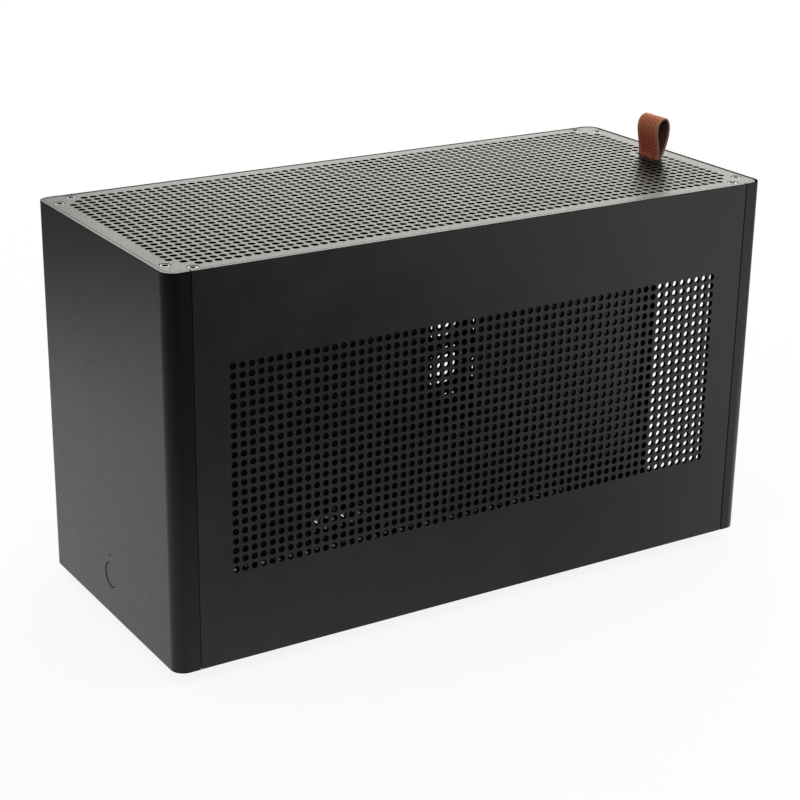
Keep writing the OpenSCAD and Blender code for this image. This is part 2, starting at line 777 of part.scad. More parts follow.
// Middle line of the strap: up one side of a drop-shaped loop and down the other.
// a runs from 0 to 360 degrees; the root is at 0 and 360 and the top of the loop at 180.
tab_mid_h = tab_h - tab_t / 2;
tab_root_y = (tab_t + tab_layer_gap) / 2;
tab_bulge = (tab_loop_w - tab_t) / 2 * 1.25;
function tab_point(a) = [
  -tab_bulge * sin(a) * pow(sin(a / 2), tab_shape) - tab_root_y * cos(a / 2) + tab_lean * (1 - cos(a)) / 2,
  tab_mid_h * (1 - cos(a)) / 2
];
function tab_path() = concat(
  [[-tab_root_y, -tab_root], [-tab_root_y, -fit_gap]],
  [for (k = [2:tab_steps - 2]) tab_point(360 * k / tab_steps)],
  [[tab_root_y, -fit_gap], [tab_root_y, -tab_root]]
);
function unit(v) = v / norm(v);
// The path moved sideways by d, square to the line through its neighbours
function moved(path, d) = [
  for (k = [0:len(path) - 1])
    let (
      along = unit(path[min(k + 1, len(path) - 1)] - path[max(k - 1, 0)])
    ) path[k] + d * [-along[1], along[0]]
];
function reversed(list) = [for (k = [len(list) - 1:-1:0]) list[k]];

module pull_tab() {
  path = tab_path();
  color([0.5, 0.24, 0.13]) difference() {
    translate([tab_off - tab_w / 2, tab_y, z_top]) rotate([90, 0, 90]) linear_extrude(height = tab_w)
      polygon(concat(moved(path, tab_t / 2), reversed(moved(path, -tab_t / 2))));
    at_tab_rivets() cylinder(d = rivet_d + 2 * small_bore_gap, h = 2 * tab_root, center = true);
  }
}

// Two bent cheeks under the cover that grip the strap's root
module tab_clamp() {
  cheek_y = tab_root_y + tab_t / 2 + 0.1;
  color([0.2, 0.2, 0.21]) for (s = [-1, 1]) difference() {
    union() {
      translate([
        tab_off - tab_w / 2,
        tab_y + s * (cheek_y + clamp_t / 2) - clamp_t / 2,
        cover_under - clamp_drop
      ])
        cube([tab_w, clamp_t, clamp_drop]);
      translate([tab_off - tab_w / 2, tab_y + s * (cheek_y + 4) - 4, cover_under - clamp_t])
        cube([tab_w, 8, clamp_t]);
    }
    at_tab_rivets() cylinder(d = rivet_d + 2 * small_bore_gap, h = 2 * tab_root, center = true);
  }
}

module at_tab_rivets() {
  for (s = [-1, 1])
    translate([tab_off + s * tab_w / 4, tab_y, cover_under - clamp_drop / 2 - 1])
      rotate([90, 0, 0]) children();
}

// Rivets through both cheeks and the strap's root
module tab_rivets() {
  cheek = tab_root_y + tab_t / 2 + 0.1 + clamp_t;
  color([0.7, 0.7, 0.72]) at_tab_rivets() {
    cylinder(d = rivet_d, h = 2 * cheek, center = true);
    for (s = [0, 1]) mirror([0, 0, s])
      translate([0, 0, cheek]) cylinder(d1 = rivet_d + 1.8, d2 = rivet_d + 0.8, h = 0.8);
  }
}

function led_pipe_d() = 3;
function carrier_screw_d() = 2;

module button_cap() {
  color([0.08, 0.08, 0.085]) translate([button_x, -case_l / 2, zc_button]) rotate([-90, 0, 0]) {
    cylinder(d = button_d, h = button_back);
    translate([0, 0, wall + fit_gap]) cylinder(d = button_flange_d, h = button_flange_t);
    cylinder(d = button_stem_d, h = button_back + button_stem_l);
  }
}

// Carrier screws sit beside the carrier's cup and point to the front
module at_carrier_screws() {
  for (s = [-1, 1])
    translate([button_x + s * carrier_ear, -in_y + steel_t + carrier_ear_t, zc_button])
      rotate([-90, 0, 0]) children();
}

// Cup behind the button that guides it and holds the switch board
module button_carrier() {
  y0 = -in_y + steel_t;
  ear_w = 2 * carrier_ear + 7;
  color([0.15, 0.15, 0.16]) difference() {
    translate([button_x, y0, zc_button]) rotate([-90, 0, 0]) union() {
      cylinder(d = carrier_d, h = carrier_depth);
      translate([-ear_w / 2, -4, 0]) cube([ear_w, 8, carrier_ear_t]);
      translate([-3.5, -led_above - 3.5, 0]) cube([7, led_above, carrier_ear_t + 2]);
    }
    translate([button_x, y0 - 1, zc_button]) rotate([-90, 0, 0])
      cylinder(d = button_bore_d, h = carrier_depth - board_t - carrier_ear_t + 1);
    translate([button_x - 5, y0 + 2, zc_button - 5]) cube([10, carrier_depth, 10]);
    translate([button_x, y0 - 1, zc_led]) rotate([-90, 0, 0])
      cylinder(d = led_pipe_d() + 2 * small_bore_gap, h = 2 * carrier_depth);
    at_carrier_screws()
      cylinder(d = carrier_screw_d() + 2 * small_bore_gap, h = 2 * carrier_depth, center = true);
  }
}

module carrier_screws() {
  color([0.5, 0.5, 0.52]) at_carrier_screws() difference() {
    union() {
      cylinder(d = 4, h = 1.4);
      translate([0, 0, -carrier_ear_t - steel_t])
        cylinder(d = carrier_screw_d(), h = carrier_ear_t + steel_t);
    }
    translate([0, 0, 0.6]) cylinder(d = 1.8, h = 2, $fn = 6);
  }
}

// Small circuit board across the back of the carrier
module switch_board() {
  y = -in_y + steel_t + carrier_depth;
  color([0.05, 0.3, 0.15]) translate([button_x - carrier_d / 2 + 1, y, zc_button - carrier_d / 2 + 1])
    cube([carrier_d - 2, board_t, carrier_d + led_above - 4]);
}

// Momentary switch on the board, with its plunger just behind the button's stem
module tact_switch() {
  y = -in_y + steel_t + carrier_depth;
  stem_end = -case_l / 2 + button_back + button_stem_l;
  plunger_end = stem_end + button_travel + fit_gap;
  color([0.1, 0.1, 0.1]) union() {
    translate([button_x - switch_body / 2, y - switch_h, zc_button - switch_body / 2])
      cube([switch_body, switch_h, switch_body]);
    translate([button_x, plunger_end, zc_button]) rotate([-90, 0, 0])
      cylinder(d = 3.4, h = max(0.5, y - switch_h - plunger_end + 0.5));
  }
}

// Clear rod that brings the indicator's light to the pinhole
module led_pipe() {
  y0 = -in_y;
  color([0.85, 0.9, 0.95]) translate([button_x, y0, zc_led]) rotate([-90, 0, 0])
    cylinder(d = led_pipe_d(), h = steel_t + carrier_depth);
}

module power_inlet() {
  color([0.06, 0.06, 0.06]) difference() {
    union() {
      translate([inlet_x - inlet_w / 2 + inlet_gap, in_y - inlet_depth, inlet_z - inlet_h / 2 + inlet_gap])
        cube([inlet_w - 2 * inlet_gap, inlet_depth + wall, inlet_h - 2 * inlet_gap]);
      translate([inlet_x - inlet_flange_w / 2, in_y - inlet_flange_t, inlet_z - inlet_flange_h / 2])
        cube([inlet_flange_w, inlet_flange_t, inlet_flange_h]);
    }
    translate([inlet_x - inlet_cavity_w / 2, in_y + wall - inlet_cavity_l, inlet_z - inlet_cavity_h / 2])
      cube([inlet_cavity_w, inlet_cavity_l + 1, inlet_cavity_h]);
    at_inlet_screws() translate([0, 0, -wall - inlet_flange_t - 1])
      cylinder(d = csk_shank_d + 2 * small_bore_gap, h = inlet_flange_t + 2);
  }
}

// Three flat pins in the inlet: live and neutral side by side, earth above between them
module inlet_pins() {
  floor_y = in_y + wall - inlet_cavity_l;
  color([0.75, 0.75, 0.72]) {
    for (s = [-1, 1])
      translate([inlet_x + s * pin_pitch / 2 - pin_t / 2, floor_y, inlet_z - pin_rise / 2 - pin_w / 2])
        cube([pin_t, pin_len, pin_w]);
    translate([inlet_x - pin_t / 2, floor_y, inlet_z + pin_rise / 2 - pin_w / 2 + 1])
      cube([pin_t, pin_len + 1, pin_w]);
  }
}

module inlet_screws() {
  color([0.2, 0.2, 0.21]) at_inlet_screws() csk_screw(wall + inlet_flange_t);
}

module rubber_feet() {
  color([0.05, 0.05, 0.05]) at_corners([foot_in_x, foot_in_y]) difference() {
    union() {
      translate([0, 0, 1]) cylinder(d = foot_d, h = foot_h - 1);
      cylinder(d1 = foot_d - 2, d2 = foot_d, h = 1);
    }
    translate([0, 0, -1]) cylinder(d = small_head_d + 2, h = foot_h - 1);
    translate([0, 0, -1]) cylinder(d = small_shank_d + 2 * small_bore_gap, h = foot_h + 2);
  }
}

module foot_screws() {
  color([0.5, 0.5, 0.52]) at_corners([foot_in_x, foot_in_y]) translate([0, 0, foot_h - 2])
    mirror([0, 0, 1]) pan_screw(2 + bottom_t);
}

module bottom_screws() {
  color([0.7, 0.7, 0.72]) for (p = [corner_screw_a, corner_screw_b])
    translate([0, 0, z_base]) at_corners(p) mirror([0, 0, 1]) csk_screw();
}

front_shell();
rear_shell();
right_side_panel();
left_side_panel();
top_cover();
bottom_plate();
front_frame();
rear_frame();
board_tray();
psu_bracket();
drive_bracket();
slot_covers();
board_standoffs();
tray_screws();
psu_bracket_screws();
drive_bracket_screws();
slot_screws();
cover_brackets();
cover_studs();
cover_screws();
cover_sockets();
right_panel_studs();
left_panel_studs();
panel_sockets();
pull_tab();
tab_clamp();
tab_rivets();
button_cap();
button_carrier();
carrier_screws();
switch_board();
tact_switch();
led_pipe();
power_inlet();
inlet_pins();
inlet_screws();
rubber_feet();
foot_screws();
bottom_screws();
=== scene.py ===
"""Looks for a small perforated computer case: sheets, shells, leather tab, screws, floor, light and camera.

Shapes are worked out in millimetres and become metres when their mesh is made.
"""

import json
import math

import bmesh
import bpy
import numpy as np
from mathutils import Matrix, Vector
from mathutils.geometry import delaunay_2d_cdt


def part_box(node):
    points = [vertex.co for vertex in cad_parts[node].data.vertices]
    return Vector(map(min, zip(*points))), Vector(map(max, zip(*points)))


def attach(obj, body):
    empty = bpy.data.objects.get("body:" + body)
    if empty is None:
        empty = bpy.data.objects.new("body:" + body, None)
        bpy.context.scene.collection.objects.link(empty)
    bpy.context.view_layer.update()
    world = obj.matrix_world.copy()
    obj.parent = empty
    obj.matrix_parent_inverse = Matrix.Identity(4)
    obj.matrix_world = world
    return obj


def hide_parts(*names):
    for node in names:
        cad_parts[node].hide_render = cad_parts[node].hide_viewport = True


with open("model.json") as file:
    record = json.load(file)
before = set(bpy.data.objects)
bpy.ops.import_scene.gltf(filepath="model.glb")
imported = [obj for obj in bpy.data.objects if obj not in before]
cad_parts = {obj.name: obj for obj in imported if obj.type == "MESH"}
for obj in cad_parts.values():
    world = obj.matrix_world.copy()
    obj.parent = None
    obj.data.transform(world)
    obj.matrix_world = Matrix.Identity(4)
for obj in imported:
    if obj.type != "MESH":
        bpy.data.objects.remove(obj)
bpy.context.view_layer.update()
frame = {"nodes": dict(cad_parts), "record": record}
nodes = frame["nodes"]

MM = 0.001


# Sizes and places


def box_mm(node):
    """A node's middle and half size in millimetres."""
    low, high = np.array(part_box(node)) / MM
    return (low + high) / 2, (high - low) / 2


SIDE_MID = box_mm("right_side_panel")[0]
TOP_MID, TOP_HALF = box_mm("top_cover")
BOTTOM_MID, BOTTOM_HALF = box_mm("bottom_plate")
COVER_FACE = TOP_MID[2] + TOP_HALF[2]
BOTTOM_FACE = BOTTOM_MID[2] - BOTTOM_HALF[2]
SHELL_BOX = np.array([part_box("front_shell")[0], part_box("rear_shell")[1]]) / MM
CASE_MID, CASE_HALF = SHELL_BOX.mean(0), (SHELL_BOX[1] - SHELL_BOX[0]) / 2
CORNER_R = 6.5

# The sheets: count and pitch of the holes, their radius, and the chamfers at the face and the back.
# A spare is how far a sheet's edge lies beyond its solid's, within the fitting gap.
SHEET_T = 2.0
SIDE_GRILLE = {
    "count": (59, 22),
    "pitch": (4.54, 4.54),
    "radius": 1.5,
    "sides": 16,
    "chamfer": 0.2,
    "back": 0.3,
}
TOP_GRILLE = {
    "count": (26, 66),
    "pitch": (4.82, 4.63),
    "radius": 1.5,
    "sides": 16,
    "chamfer": 0.08,
    "back": 0.0,
}
HOLES_LEFT_OUT = 2  # in the outermost row at each corner of the cover, and one fewer in each next row
SIDE_CORNER, SIDE_CHAMFER, SIDE_SPARE = 0.3, 0.2, 0.1
COVER_CORNER, COVER_CHAMFER, COVER_SPARE = 4.3, 0.12, 0.12
CORNER_POINTS = 10
SMALLEST_CORNER = 0.05

# The rounds on the shells' and the button's edges, and how far the button's face is set back.
SHELL_ROUND = 0.3
BUTTON_ROUND, BUTTON_SUNK = 0.15, 0.25

# The socket screws. Heights are from the head's face, and the places are mirrored into all four corners.
SCREW_HOLE_R = 2.8
SCREW_BORE_R = 1.6
SCREW_HOLE_SIDES = 32
SCREW_PLACES = ((56.7, 155.05), (64.6, 146.05))
SHANK_R = 1.5
SOCKET_FLAT = 1.3
SOCKET_FLOOR = -1.52
SCREW_TIP = -4.5
SCREW_SIDES = 36
SCREW_TURN = (7.3, 3.1)  # radians for each millimetre of the place, so that no two sockets are in line

# The leather tab and its slot. The slot keeps a web between it and the nearest whole hole.
TAB_SPOT = (1.2, 144.25)
TAB_SLOT_HALF = (8.6, 1.9)
TAB_SLOT_CORNER, TAB_SLOT_CHAMFER, TAB_SLOT_POINTS = 0.4, 0.2, 6
SLOT_WEB = 0.2
CELL_ROOM = 0.3
TAB_HEIGHT = 21.0
TAB_LEAN = 2.3
TAB_ROOT, ROOT_STOP = 9.0, 0.3  # below the cover's face, where the straight ends begin and stop
STRAP_W = 16.2
STRAP_T = 1.15
STRAP_SHIFT = (0.35, 0.6)  # from the middle of the slot
STRAP_GAP = 0.1  # between the strap's two ends
FRONT_BULGE, FRONT_POWER = 6.1, 2.5
REAR_BULGE, REAR_POWER = 4.2, 0.9
BEND_FROM = 18.0  # degrees round the loop
STRAP_ROWS = 150
ROOT_ROWS = 10
FACE_POINTS, ROUND_POINTS = 41, 9
CUT_FLAT, CUT_SWELL = 0.08, 0.02  # what the round of a cut edge leaves of half the thickness, and regains
LINE_INSET, LINE_W, LINE_DEPTH = 1.5, 0.3, 0.16
LINE_ROOM = 0.5  # on each side of a pressed line, where it has points of its own
STRAP_CROWN = 0.06
STRIPE_PITCH = 1.7
STRIPE_SLANT = 0.31
STRAP_PARTS = ("inner", "cut", "pressed", "height")

# The painted shade line on the outer edges, drawn in dull black: its width at the front and right and at
# the rear and left, the depths between which it fades, and the slope of the plan's diagonal.
EDGE_LINE = (0.4, 1.8)
EDGE_DEPTH = (0.12, 0.22)
DIAGONAL = 2.27


# Shader maths


class Value:
    """A socket used in sums: each operator adds one Math node and gives its result."""

    def __init__(self, owner, socket):
        self.owner = owner
        self.socket = socket

    def math(self, operation, *inputs):
        """One Math node, added to the tree that owns this socket."""
        return self.owner.add("ShaderNodeMath", {"operation": operation}, inputs)

    def __add__(self, other):
        return self.math("ADD", self, other)

    def __radd__(self, other):
        return self.math("ADD", other, self)

    def __sub__(self, other):
        return self.math("SUBTRACT", self, other)

    def __rsub__(self, other):
        return self.math("SUBTRACT", other, self)

    def __mul__(self, other):
        return self.math("MULTIPLY", self, other)

    def __rmul__(self, other):
        return self.math("MULTIPLY", other, self)

    def __truediv__(self, other):
        return self.math("DIVIDE", self, other)

    def __abs__(self):
        return self.math("ABSOLUTE", self)

    def least(self, other):
        return self.math("MINIMUM", self, other)

    def most(self, other):
        return self.math("MAXIMUM", self, other)

    def below(self, other):
        return self.math("LESS_THAN", self, other)

    def rounded(self):
        return self.math("ROUND", self)

    def root(self):
        return self.math("SQRT", self)

    def sine(self):
        return self.math("SINE", self)


class Nodes:
    """A node tree that is built up with add()."""

    def __init__(self, tree):
        self.tree = tree
        tree.nodes.clear()

    def add(self, kind, settings, inputs, output=0):
        """A node of this kind: its settings first, then the values or links of its sockets."""
        node = self.tree.nodes.new(kind)
        for name, value in settings.items():
            setattr(node, name, value)
        pairs = inputs.items() if isinstance(inputs, dict) else enumerate(inputs)
        for key, value in pairs:
            if isinstance(value, Value):
                self.tree.links.new(value.socket, node.inputs[key])
            else:
                node.inputs[key].default_value = value
        return Value(self, node.outputs[output])

    def axes(self, vector):
        """The three parts of a vector."""
        split = self.add("ShaderNodeSeparateXYZ", {}, [vector])
        outputs = split.socket.node.outputs
        return [Value(self, outputs[k]) for k in range(3)]

    def mix(self, share, first, second):
        """Two colours mixed; each is a colour or a Value."""
        tints = [c if isinstance(c, Value) else (*c, 1.0) for c in (first, second)]
        return self.add("ShaderNodeMix", {"data_type": "RGBA"}, {0: share, 6: tints[0], 7: tints[1]}, 2)

    def step(self, value, low, high, first=0.0, last=1.0):
        """A smooth step from first at low to last at high."""
        settings = {"interpolation_type": "SMOOTHSTEP"}
        return self.add("ShaderNodeMapRange", settings, [value, low, high, first, last])

    def shaders(self, share, first, second):
        """Two shaders mixed."""
        return self.add("ShaderNodeMixShader", {}, [share, first, second])

    def attribute(self, name):
        """A number that the mesh holds at each of its points."""
        return self.add("ShaderNodeAttribute", {"attribute_name": name}, {}, "Fac")

    def place(self):
        """Object coordinates, in metres."""
        return self.add("ShaderNodeTexCoord", {}, {}, "Object")

    def ray(self, kind):
        """1 for rays of this kind, and 0 for the rest."""
        return self.add("ShaderNodeLightPath", {}, {}, kind)


class Finish(Nodes):
    """A material that ends in one Principled shader."""

    def __init__(self, name, colour, roughness, metallic=0.0, specular=0.5):
        self.material = bpy.data.materials.new(name)
        self.material.use_nodes = True
        super().__init__(self.material.node_tree)
        self.end = self.tree.nodes.new("ShaderNodeOutputMaterial")
        self.shader = self.tree.nodes.new("ShaderNodeBsdfPrincipled")
        self.tree.links.new(self.shader.outputs[0], self.end.inputs["Surface"])
        self.set("Base Color", (*colour, 1.0))
        self.set("Roughness", roughness)
        self.set("Metallic", metallic)
        self.set("Specular IOR Level", specular)

    def set(self, socket, value):
        """Sets or links one socket of the Principled shader."""
        if isinstance(value, Value):
            self.tree.links.new(value.socket, self.shader.inputs[socket])
        else:
            self.shader.inputs[socket].default_value = value

    def noise(self, scale, detail=2.0, roughness=0.5, vector=None):
        """Noise from 0 to 1, on Object coordinates unless a vector is given."""
        inputs = {"Scale": scale, "Detail": detail, "Roughness": roughness}
        inputs["Vector"] = vector or self.place()
        return self.add("ShaderNodeTexNoise", {}, inputs, "Fac")

    def bump(self, height):
        """A bump from a height in metres."""
        return self.add("ShaderNodeBump", {}, {"Strength": 1.0, "Distance": 1.0, "Height": height})

    def matt(self, share, colour):
        """A share of plain matt colour over the Principled shader."""
        dull = self.add("ShaderNodeBsdfDiffuse", {}, {"Color": (*colour, 1.0)})
        glossy = Value(self, self.shader.outputs[0])
        self.tree.links.new(self.shaders(share, glossy, dull).socket, self.end.inputs["Surface"])


# Finishes


WHITE = (1.0, 1.0, 1.0)
SHEET_SPECULAR = 0.25
# the dull black that paints shade on the outer edges and in the holes of the anodised parts
PAINTED_SHADE_BLACK = (0.004, 0.004, 0.004)
COOL_DARK = (0.98, 0.99, 1.03)
COOL_LIGHT = (0.99, 1.0, 1.03)
BRIGHT_STEEL = (0.62, 0.62, 0.63)
DARK_FACE, LIGHT_FACE = (0.14, 0.14, 0.145), (0.36, 0.36, 0.365)
# painted shade for the screws' sockets and the parts of their heads below the face
SOCKET_SHADE = (0.035, 0.034, 0.033)
LEATHER = {
    "body": (0.2, 0.06, 0.03),
    # the colours near the root and on top differ partly by painted light: shade low down, light higher up
    "groove near the root": (0.27, 0.032, 0.011),
    "stripe near the root": (0.62, 0.185, 0.085),
    "groove on top": (0.40, 0.105, 0.046),
    "stripe on top": (0.52, 0.160, 0.072),
    # painted highlight along the loop's crest
    "crest": (0.78, 0.17, 0.075),
    "pore": (0.10, 0.020, 0.009),
    "pressed line": (0.56, 0.26, 0.14),
    "inside": (0.130, 0.060, 0.046),
    "dark cut": (0.24, 0.120, 0.075),
    "light cut": (0.42, 0.22, 0.14),
}


def scaled(colour, factor):
    """A colour made lighter or darker."""
    return tuple(min(1.0, part * factor) for part in colour)


def anodised(name, tone, rims=None, reach=1.6):
    """Satin black anodised aluminium: blasted grain, faint clouding, and painted shade in dull black on the
    edges.

    tone is the base colour's level, and rims gives the distance from the nearest hole's centre. The holes'
    rims and bores have painted shade, dull black up to the radius reach, where the mesh's attribute says
    that there is a hole.
    """
    f = Finish(name, (tone, tone, tone), 0.36, specular=SHEET_SPECULAR)
    place = f.place()
    x, y, z = f.axes(place)
    grain = f.noise(3800.0, 3.0, 0.65, place)
    blast = f.noise(1100.0, 3.0, 0.6, place)
    cloud = f.noise(24.0, 3.0, 0.55, place)
    clouded = f.mix(f.step(cloud, 0.3, 0.7), scaled(COOL_DARK, tone * 0.8), scaled(COOL_LIGHT, tone * 1.2))
    base = f.mix(f.step(blast, 0.45, 0.75) * 0.35, clouded, scaled(WHITE, tone * 2.4))
    # dull is the share of painted shade in dull black: on the outer edges, and below also in the holes
    dull = painted_edge_shade(f, x, y, z)
    if rims:
        # painted shade in the holes: dull black on their bores and rims
        rim = 1 - f.step(rims(f, x, y, z), (reach - 0.04) * MM, (reach + 0.04) * MM)
        dull = dull.most(rim * f.step(f.attribute("hole"), 0.4, 0.5))
    f.set("Base Color", base)
    f.set("Roughness", 0.26 + f.step(blast, 0.25, 0.75) * 0.12 + cloud * 0.06)
    f.set("Normal", f.bump(grain * 0.0000045 + blast * 0.000009))
    f.matt(dull, PAINTED_SHADE_BLACK)
    return f.material


def distance_in(f, across, along, half_across, half_along, corner):
    """Distance in from the outline of a rounded rectangle, in metres.

    With q = |p| - (half - corner), the outline's signed distance is
    |max(q, 0)| + min(max(qx, qy), 0) - corner, and this is its negative.
    """
    qx = abs(across) - (half_across - corner)
    qy = abs(along) - (half_along - corner)
    px = qx.most(0.0)
    py = qy.most(0.0)
    outside = (px * px + py * py).root()
    return corner - outside - qx.most(qy).least(0.0)


def painted_edge_shade(f, x, y, z):
    """Painted shade: a dull black line along the outer edges at the top and the bottom.

    It is wider behind the diagonal of the case's plan, at the rear and on the left.
    """
    across = distance_in(f, x, y - CASE_MID[1] * MM, CASE_HALF[0] * MM, CASE_HALF[1] * MM, CORNER_R * MM)
    down = CASE_HALF[2] * MM - abs(z - CASE_MID[2] * MM)
    width = f.step(y - x * DIAGONAL, -0.01, 0.01, EDGE_LINE[0] * MM, EDGE_LINE[1] * MM)
    faded = f.step(down, EDGE_DEPTH[0] * MM, EDGE_DEPTH[1] * MM)
    return (1 - f.step(across / width, 0.85, 1.0)) * (1 - faded)


def from_hole(across, along, grille):
    """Distance from the nearest hole's centre in a grid that is centred on zero, in metres."""
    pitch_a, pitch_b = grille["pitch"][0] * MM, grille["pitch"][1] * MM
    count_a, count_b = grille["count"]
    a = across / pitch_a + (0.0 if count_a % 2 else 0.5)
    b = along / pitch_b + (0.0 if count_b % 2 else 0.5)
    da = (a - a.rounded()) * pitch_a
    db = (b - b.rounded()) * pitch_b
    inside = abs(across).below(count_a * pitch_a / 2) * abs(along).below(count_b * pitch_b / 2)
    return (da * da + db * db).root() + (1 - inside)


def side_rims(f, x, y, z):
    """Distance from the nearest hole of the side panels."""
    return from_hole(y - SIDE_MID[1] * MM, z - SIDE_MID[2] * MM, SIDE_GRILLE)


def top_rims(f, x, y, z):
    """Distance from the nearest hole of the cover."""
    return from_hole(x, y, TOP_GRILLE)


def powder_coat(name, colour):
    """Matt black powder coat on steel, with a fine orange-peel texture."""
    f = Finish(name, colour, 0.6, specular=0.4)
    peel = f.noise(1400.0, 2.0, 0.5)
    f.set("Base Color", f.mix(peel, scaled(colour, 0.8), scaled(colour, 1.25)))
    f.set("Roughness", 0.52 + peel * 0.2)
    f.set("Normal", f.bump(peel * 0.00003))
    return f.material


def plated(name, colour):
    """Bright plated metal with faint turning marks and dulled patches."""
    f = Finish(name, colour, 0.25, metallic=1.0)
    marks = f.noise(3500.0, 2.0, 0.6)
    dull = f.noise(300.0, 2.0, 0.5)
    f.set("Base Color", f.mix(dull, scaled(colour, 0.75), colour))
    f.set("Roughness", 0.2 + dull * 0.16)
    f.set("Normal", f.bump(marks * 0.000004))
    return f.material


def screw_heads():
    """Bright plated screw heads, with painted shade in the socket and under the rim, which are dark and
    duller there.
    """
    f = Finish("bright screw heads", BRIGHT_STEEL, 0.25, metallic=1.0)
    hidden = f.attribute("hidden")
    marks = f.noise(3500.0, 2.0, 0.6)
    dull = f.noise(420.0, 2.0, 0.5)
    face = f.mix(f.step(dull, 0.35, 0.65), DARK_FACE, LIGHT_FACE)
    # painted shade: dark grey where hidden, in the socket and under the rim
    f.set("Base Color", f.mix(hidden, face, SOCKET_SHADE))
    f.set("Roughness", 0.2 + dull * 0.14 + hidden * 0.3)
    f.set("Normal", f.bump(marks * 0.000004))
    return f.material


def moulded(name, colour, roughness=0.5):
    """Moulded plastic or rubber with a fine spark-eroded skin."""
    f = Finish(name, colour, roughness)
    skin = f.noise(2600.0, 2.0, 0.5)
    f.set("Base Color", f.mix(skin, scaled(colour, 0.85), scaled(colour, 1.15)))
    f.set("Roughness", roughness - 0.06 + skin * 0.14)
    f.set("Normal", f.bump(skin * 0.00001))
    return f.material


def leather():
    """Brown full-grain leather.

    The strap's map gives millimetres along it and across it, and its attributes say how far a point is
    inside the loop, on a cut edge, in the pressed line beside the edge, and up the tab. The grain is rows
    of fine broken stripes, sin(2 pi (along - slant across) / pitch + noise). Up the tab it goes from red
    near the root to orange on top, a change that is partly painted light, darker low down and lighter
    higher up, and the crest has a painted highlight.
    """
    f = Finish("brown leather", LEATHER["body"], 0.5, specular=0.25)
    chart = f.add("ShaderNodeUVMap", {"uv_map": "strap"}, {})
    along, across, _ = f.axes(chart)
    inner, cut, pressed, height = [f.attribute(name) for name in STRAP_PARTS]
    waver = f.noise(0.45, 2.0, 0.5, chart) * 5.0
    weave = ((along - across * STRIPE_SLANT) * (2 * math.pi / STRIPE_PITCH) + waver).sine()
    broken = f.noise(1.1, 2.0, 0.55, chart)
    stripe = f.step(weave + (broken - 0.5) * 2.4, -0.1, 0.8)
    pores = f.noise(2.6, 3.0, 0.6, chart)
    cloud = f.noise(0.12, 3.0, 0.6, chart)
    # painted light: the tab is darker and redder low down and lighter towards the top
    painted_top_light = f.step(height + (cloud - 0.5) * 0.5, 0.35, 0.75)
    low = f.mix(stripe, LEATHER["groove near the root"], LEATHER["stripe near the root"])
    high = f.mix(stripe, LEATHER["groove on top"], LEATHER["stripe on top"])
    base = f.mix(painted_top_light, low, high)
    # painted highlight along the crest, where the top of the loop faces the light
    base = f.mix(f.step(height, 0.93, 0.985) * 0.7, base, LEATHER["crest"])
    base = f.mix(f.step(pores, 0.35, 0.55), LEATHER["pore"], base)
    base = f.mix(pressed * 0.6, base, LEATHER["pressed line"])
    base = f.mix(inner, base, LEATHER["inside"])
    trim = f.mix(f.step(pores, 0.3, 0.7), LEATHER["dark cut"], LEATHER["light cut"])
    base = f.mix(cut, base, trim)
    f.set("Base Color", base)
    f.set("Roughness", 0.50 + pores * 0.2 + inner * 0.25)
    relief = stripe * 0.00006 + broken * 0.00010 + pores * 0.00003
    f.set("Normal", f.bump(relief * (1 - cut * 0.7)))
    return f.material


# Meshes


class Build:
    """Points and faces gathered step by step, in millimetres."""

    def __init__(self):
        self.points = []
        self.marks = []
        self.faces = {3: [], 4: []}
        self.count = 0

    def add(self, points, mark=0.0):
        """Adds points, with a mark for the mesh's attribute, and gives their numbers."""
        points = np.asarray(points, float).reshape(-1, 3)
        self.points.append(points)
        self.marks.append(np.full(len(points), mark))
        self.count += len(points)
        return np.arange(self.count - len(points), self.count)

    def face(self, corners):
        """Adds triangles or quads, one row of point numbers each."""
        self.faces[corners.shape[-1]].append(corners.reshape(-1, corners.shape[-1]))

    def band(self, first, second):
        """Quads between two closed rings of points; first lies above second on a wall seen from outside."""
        self.face(np.stack([first, second, np.roll(second, -1), np.roll(first, -1)], -1))

    def mesh(self, name, to_case=None, attribute=None):
        """The Blender mesh in metres; to_case turns the local points into the case's frame."""
        points = np.concatenate(self.points)
        if to_case is not None:
            points = to_case(points)
        groups = {n: np.concatenate(rows) for n, rows in self.faces.items() if rows}
        used = np.unique(np.concatenate([rows.ravel() for rows in groups.values()]))
        number = np.full(len(points), -1)
        number[used] = np.arange(len(used))
        corners = np.concatenate([number[rows].ravel() for rows in groups.values()])
        sizes = np.concatenate([np.full(len(rows), n) for n, rows in groups.items()])
        starts = np.concatenate([[0], np.cumsum(sizes)[:-1]])
        mesh = bpy.data.meshes.new(name)
        mesh.vertices.add(len(used))
        mesh.vertices.foreach_set("co", (points[used] * MM).ravel())
        mesh.loops.add(len(corners))
        mesh.loops.foreach_set("vertex_index", corners.astype(np.int32))
        mesh.polygons.add(len(starts))
        mesh.polygons.foreach_set("loop_start", starts.astype(np.int32))
        mesh.update(calc_edges=True)
        mesh.validate()
        if attribute:
            layer = mesh.attributes.new(attribute, "FLOAT", "POINT")
            layer.data.foreach_set("value", np.concatenate(self.marks)[used].astype(np.float32))
        return mesh


def piece(name, mesh, finish, replaced, crease=30.0):
    """An object for a mesh: smooth up to the crease angle, riding where the node it replaces rides."""
    mesh.shade_smooth()
    mesh.set_sharp_from_angle(angle=math.radians(crease))
    obj = bpy.data.objects.new(name, mesh)
    bpy.context.scene.collection.objects.link(obj)
    obj.data.materials.append(finish)
    bodies = frame["record"]["behaviour"]["bodies"]
    body = next(body for body, members in bodies.items() if replaced in members)
    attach(obj, body)
    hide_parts(replaced)
    return obj


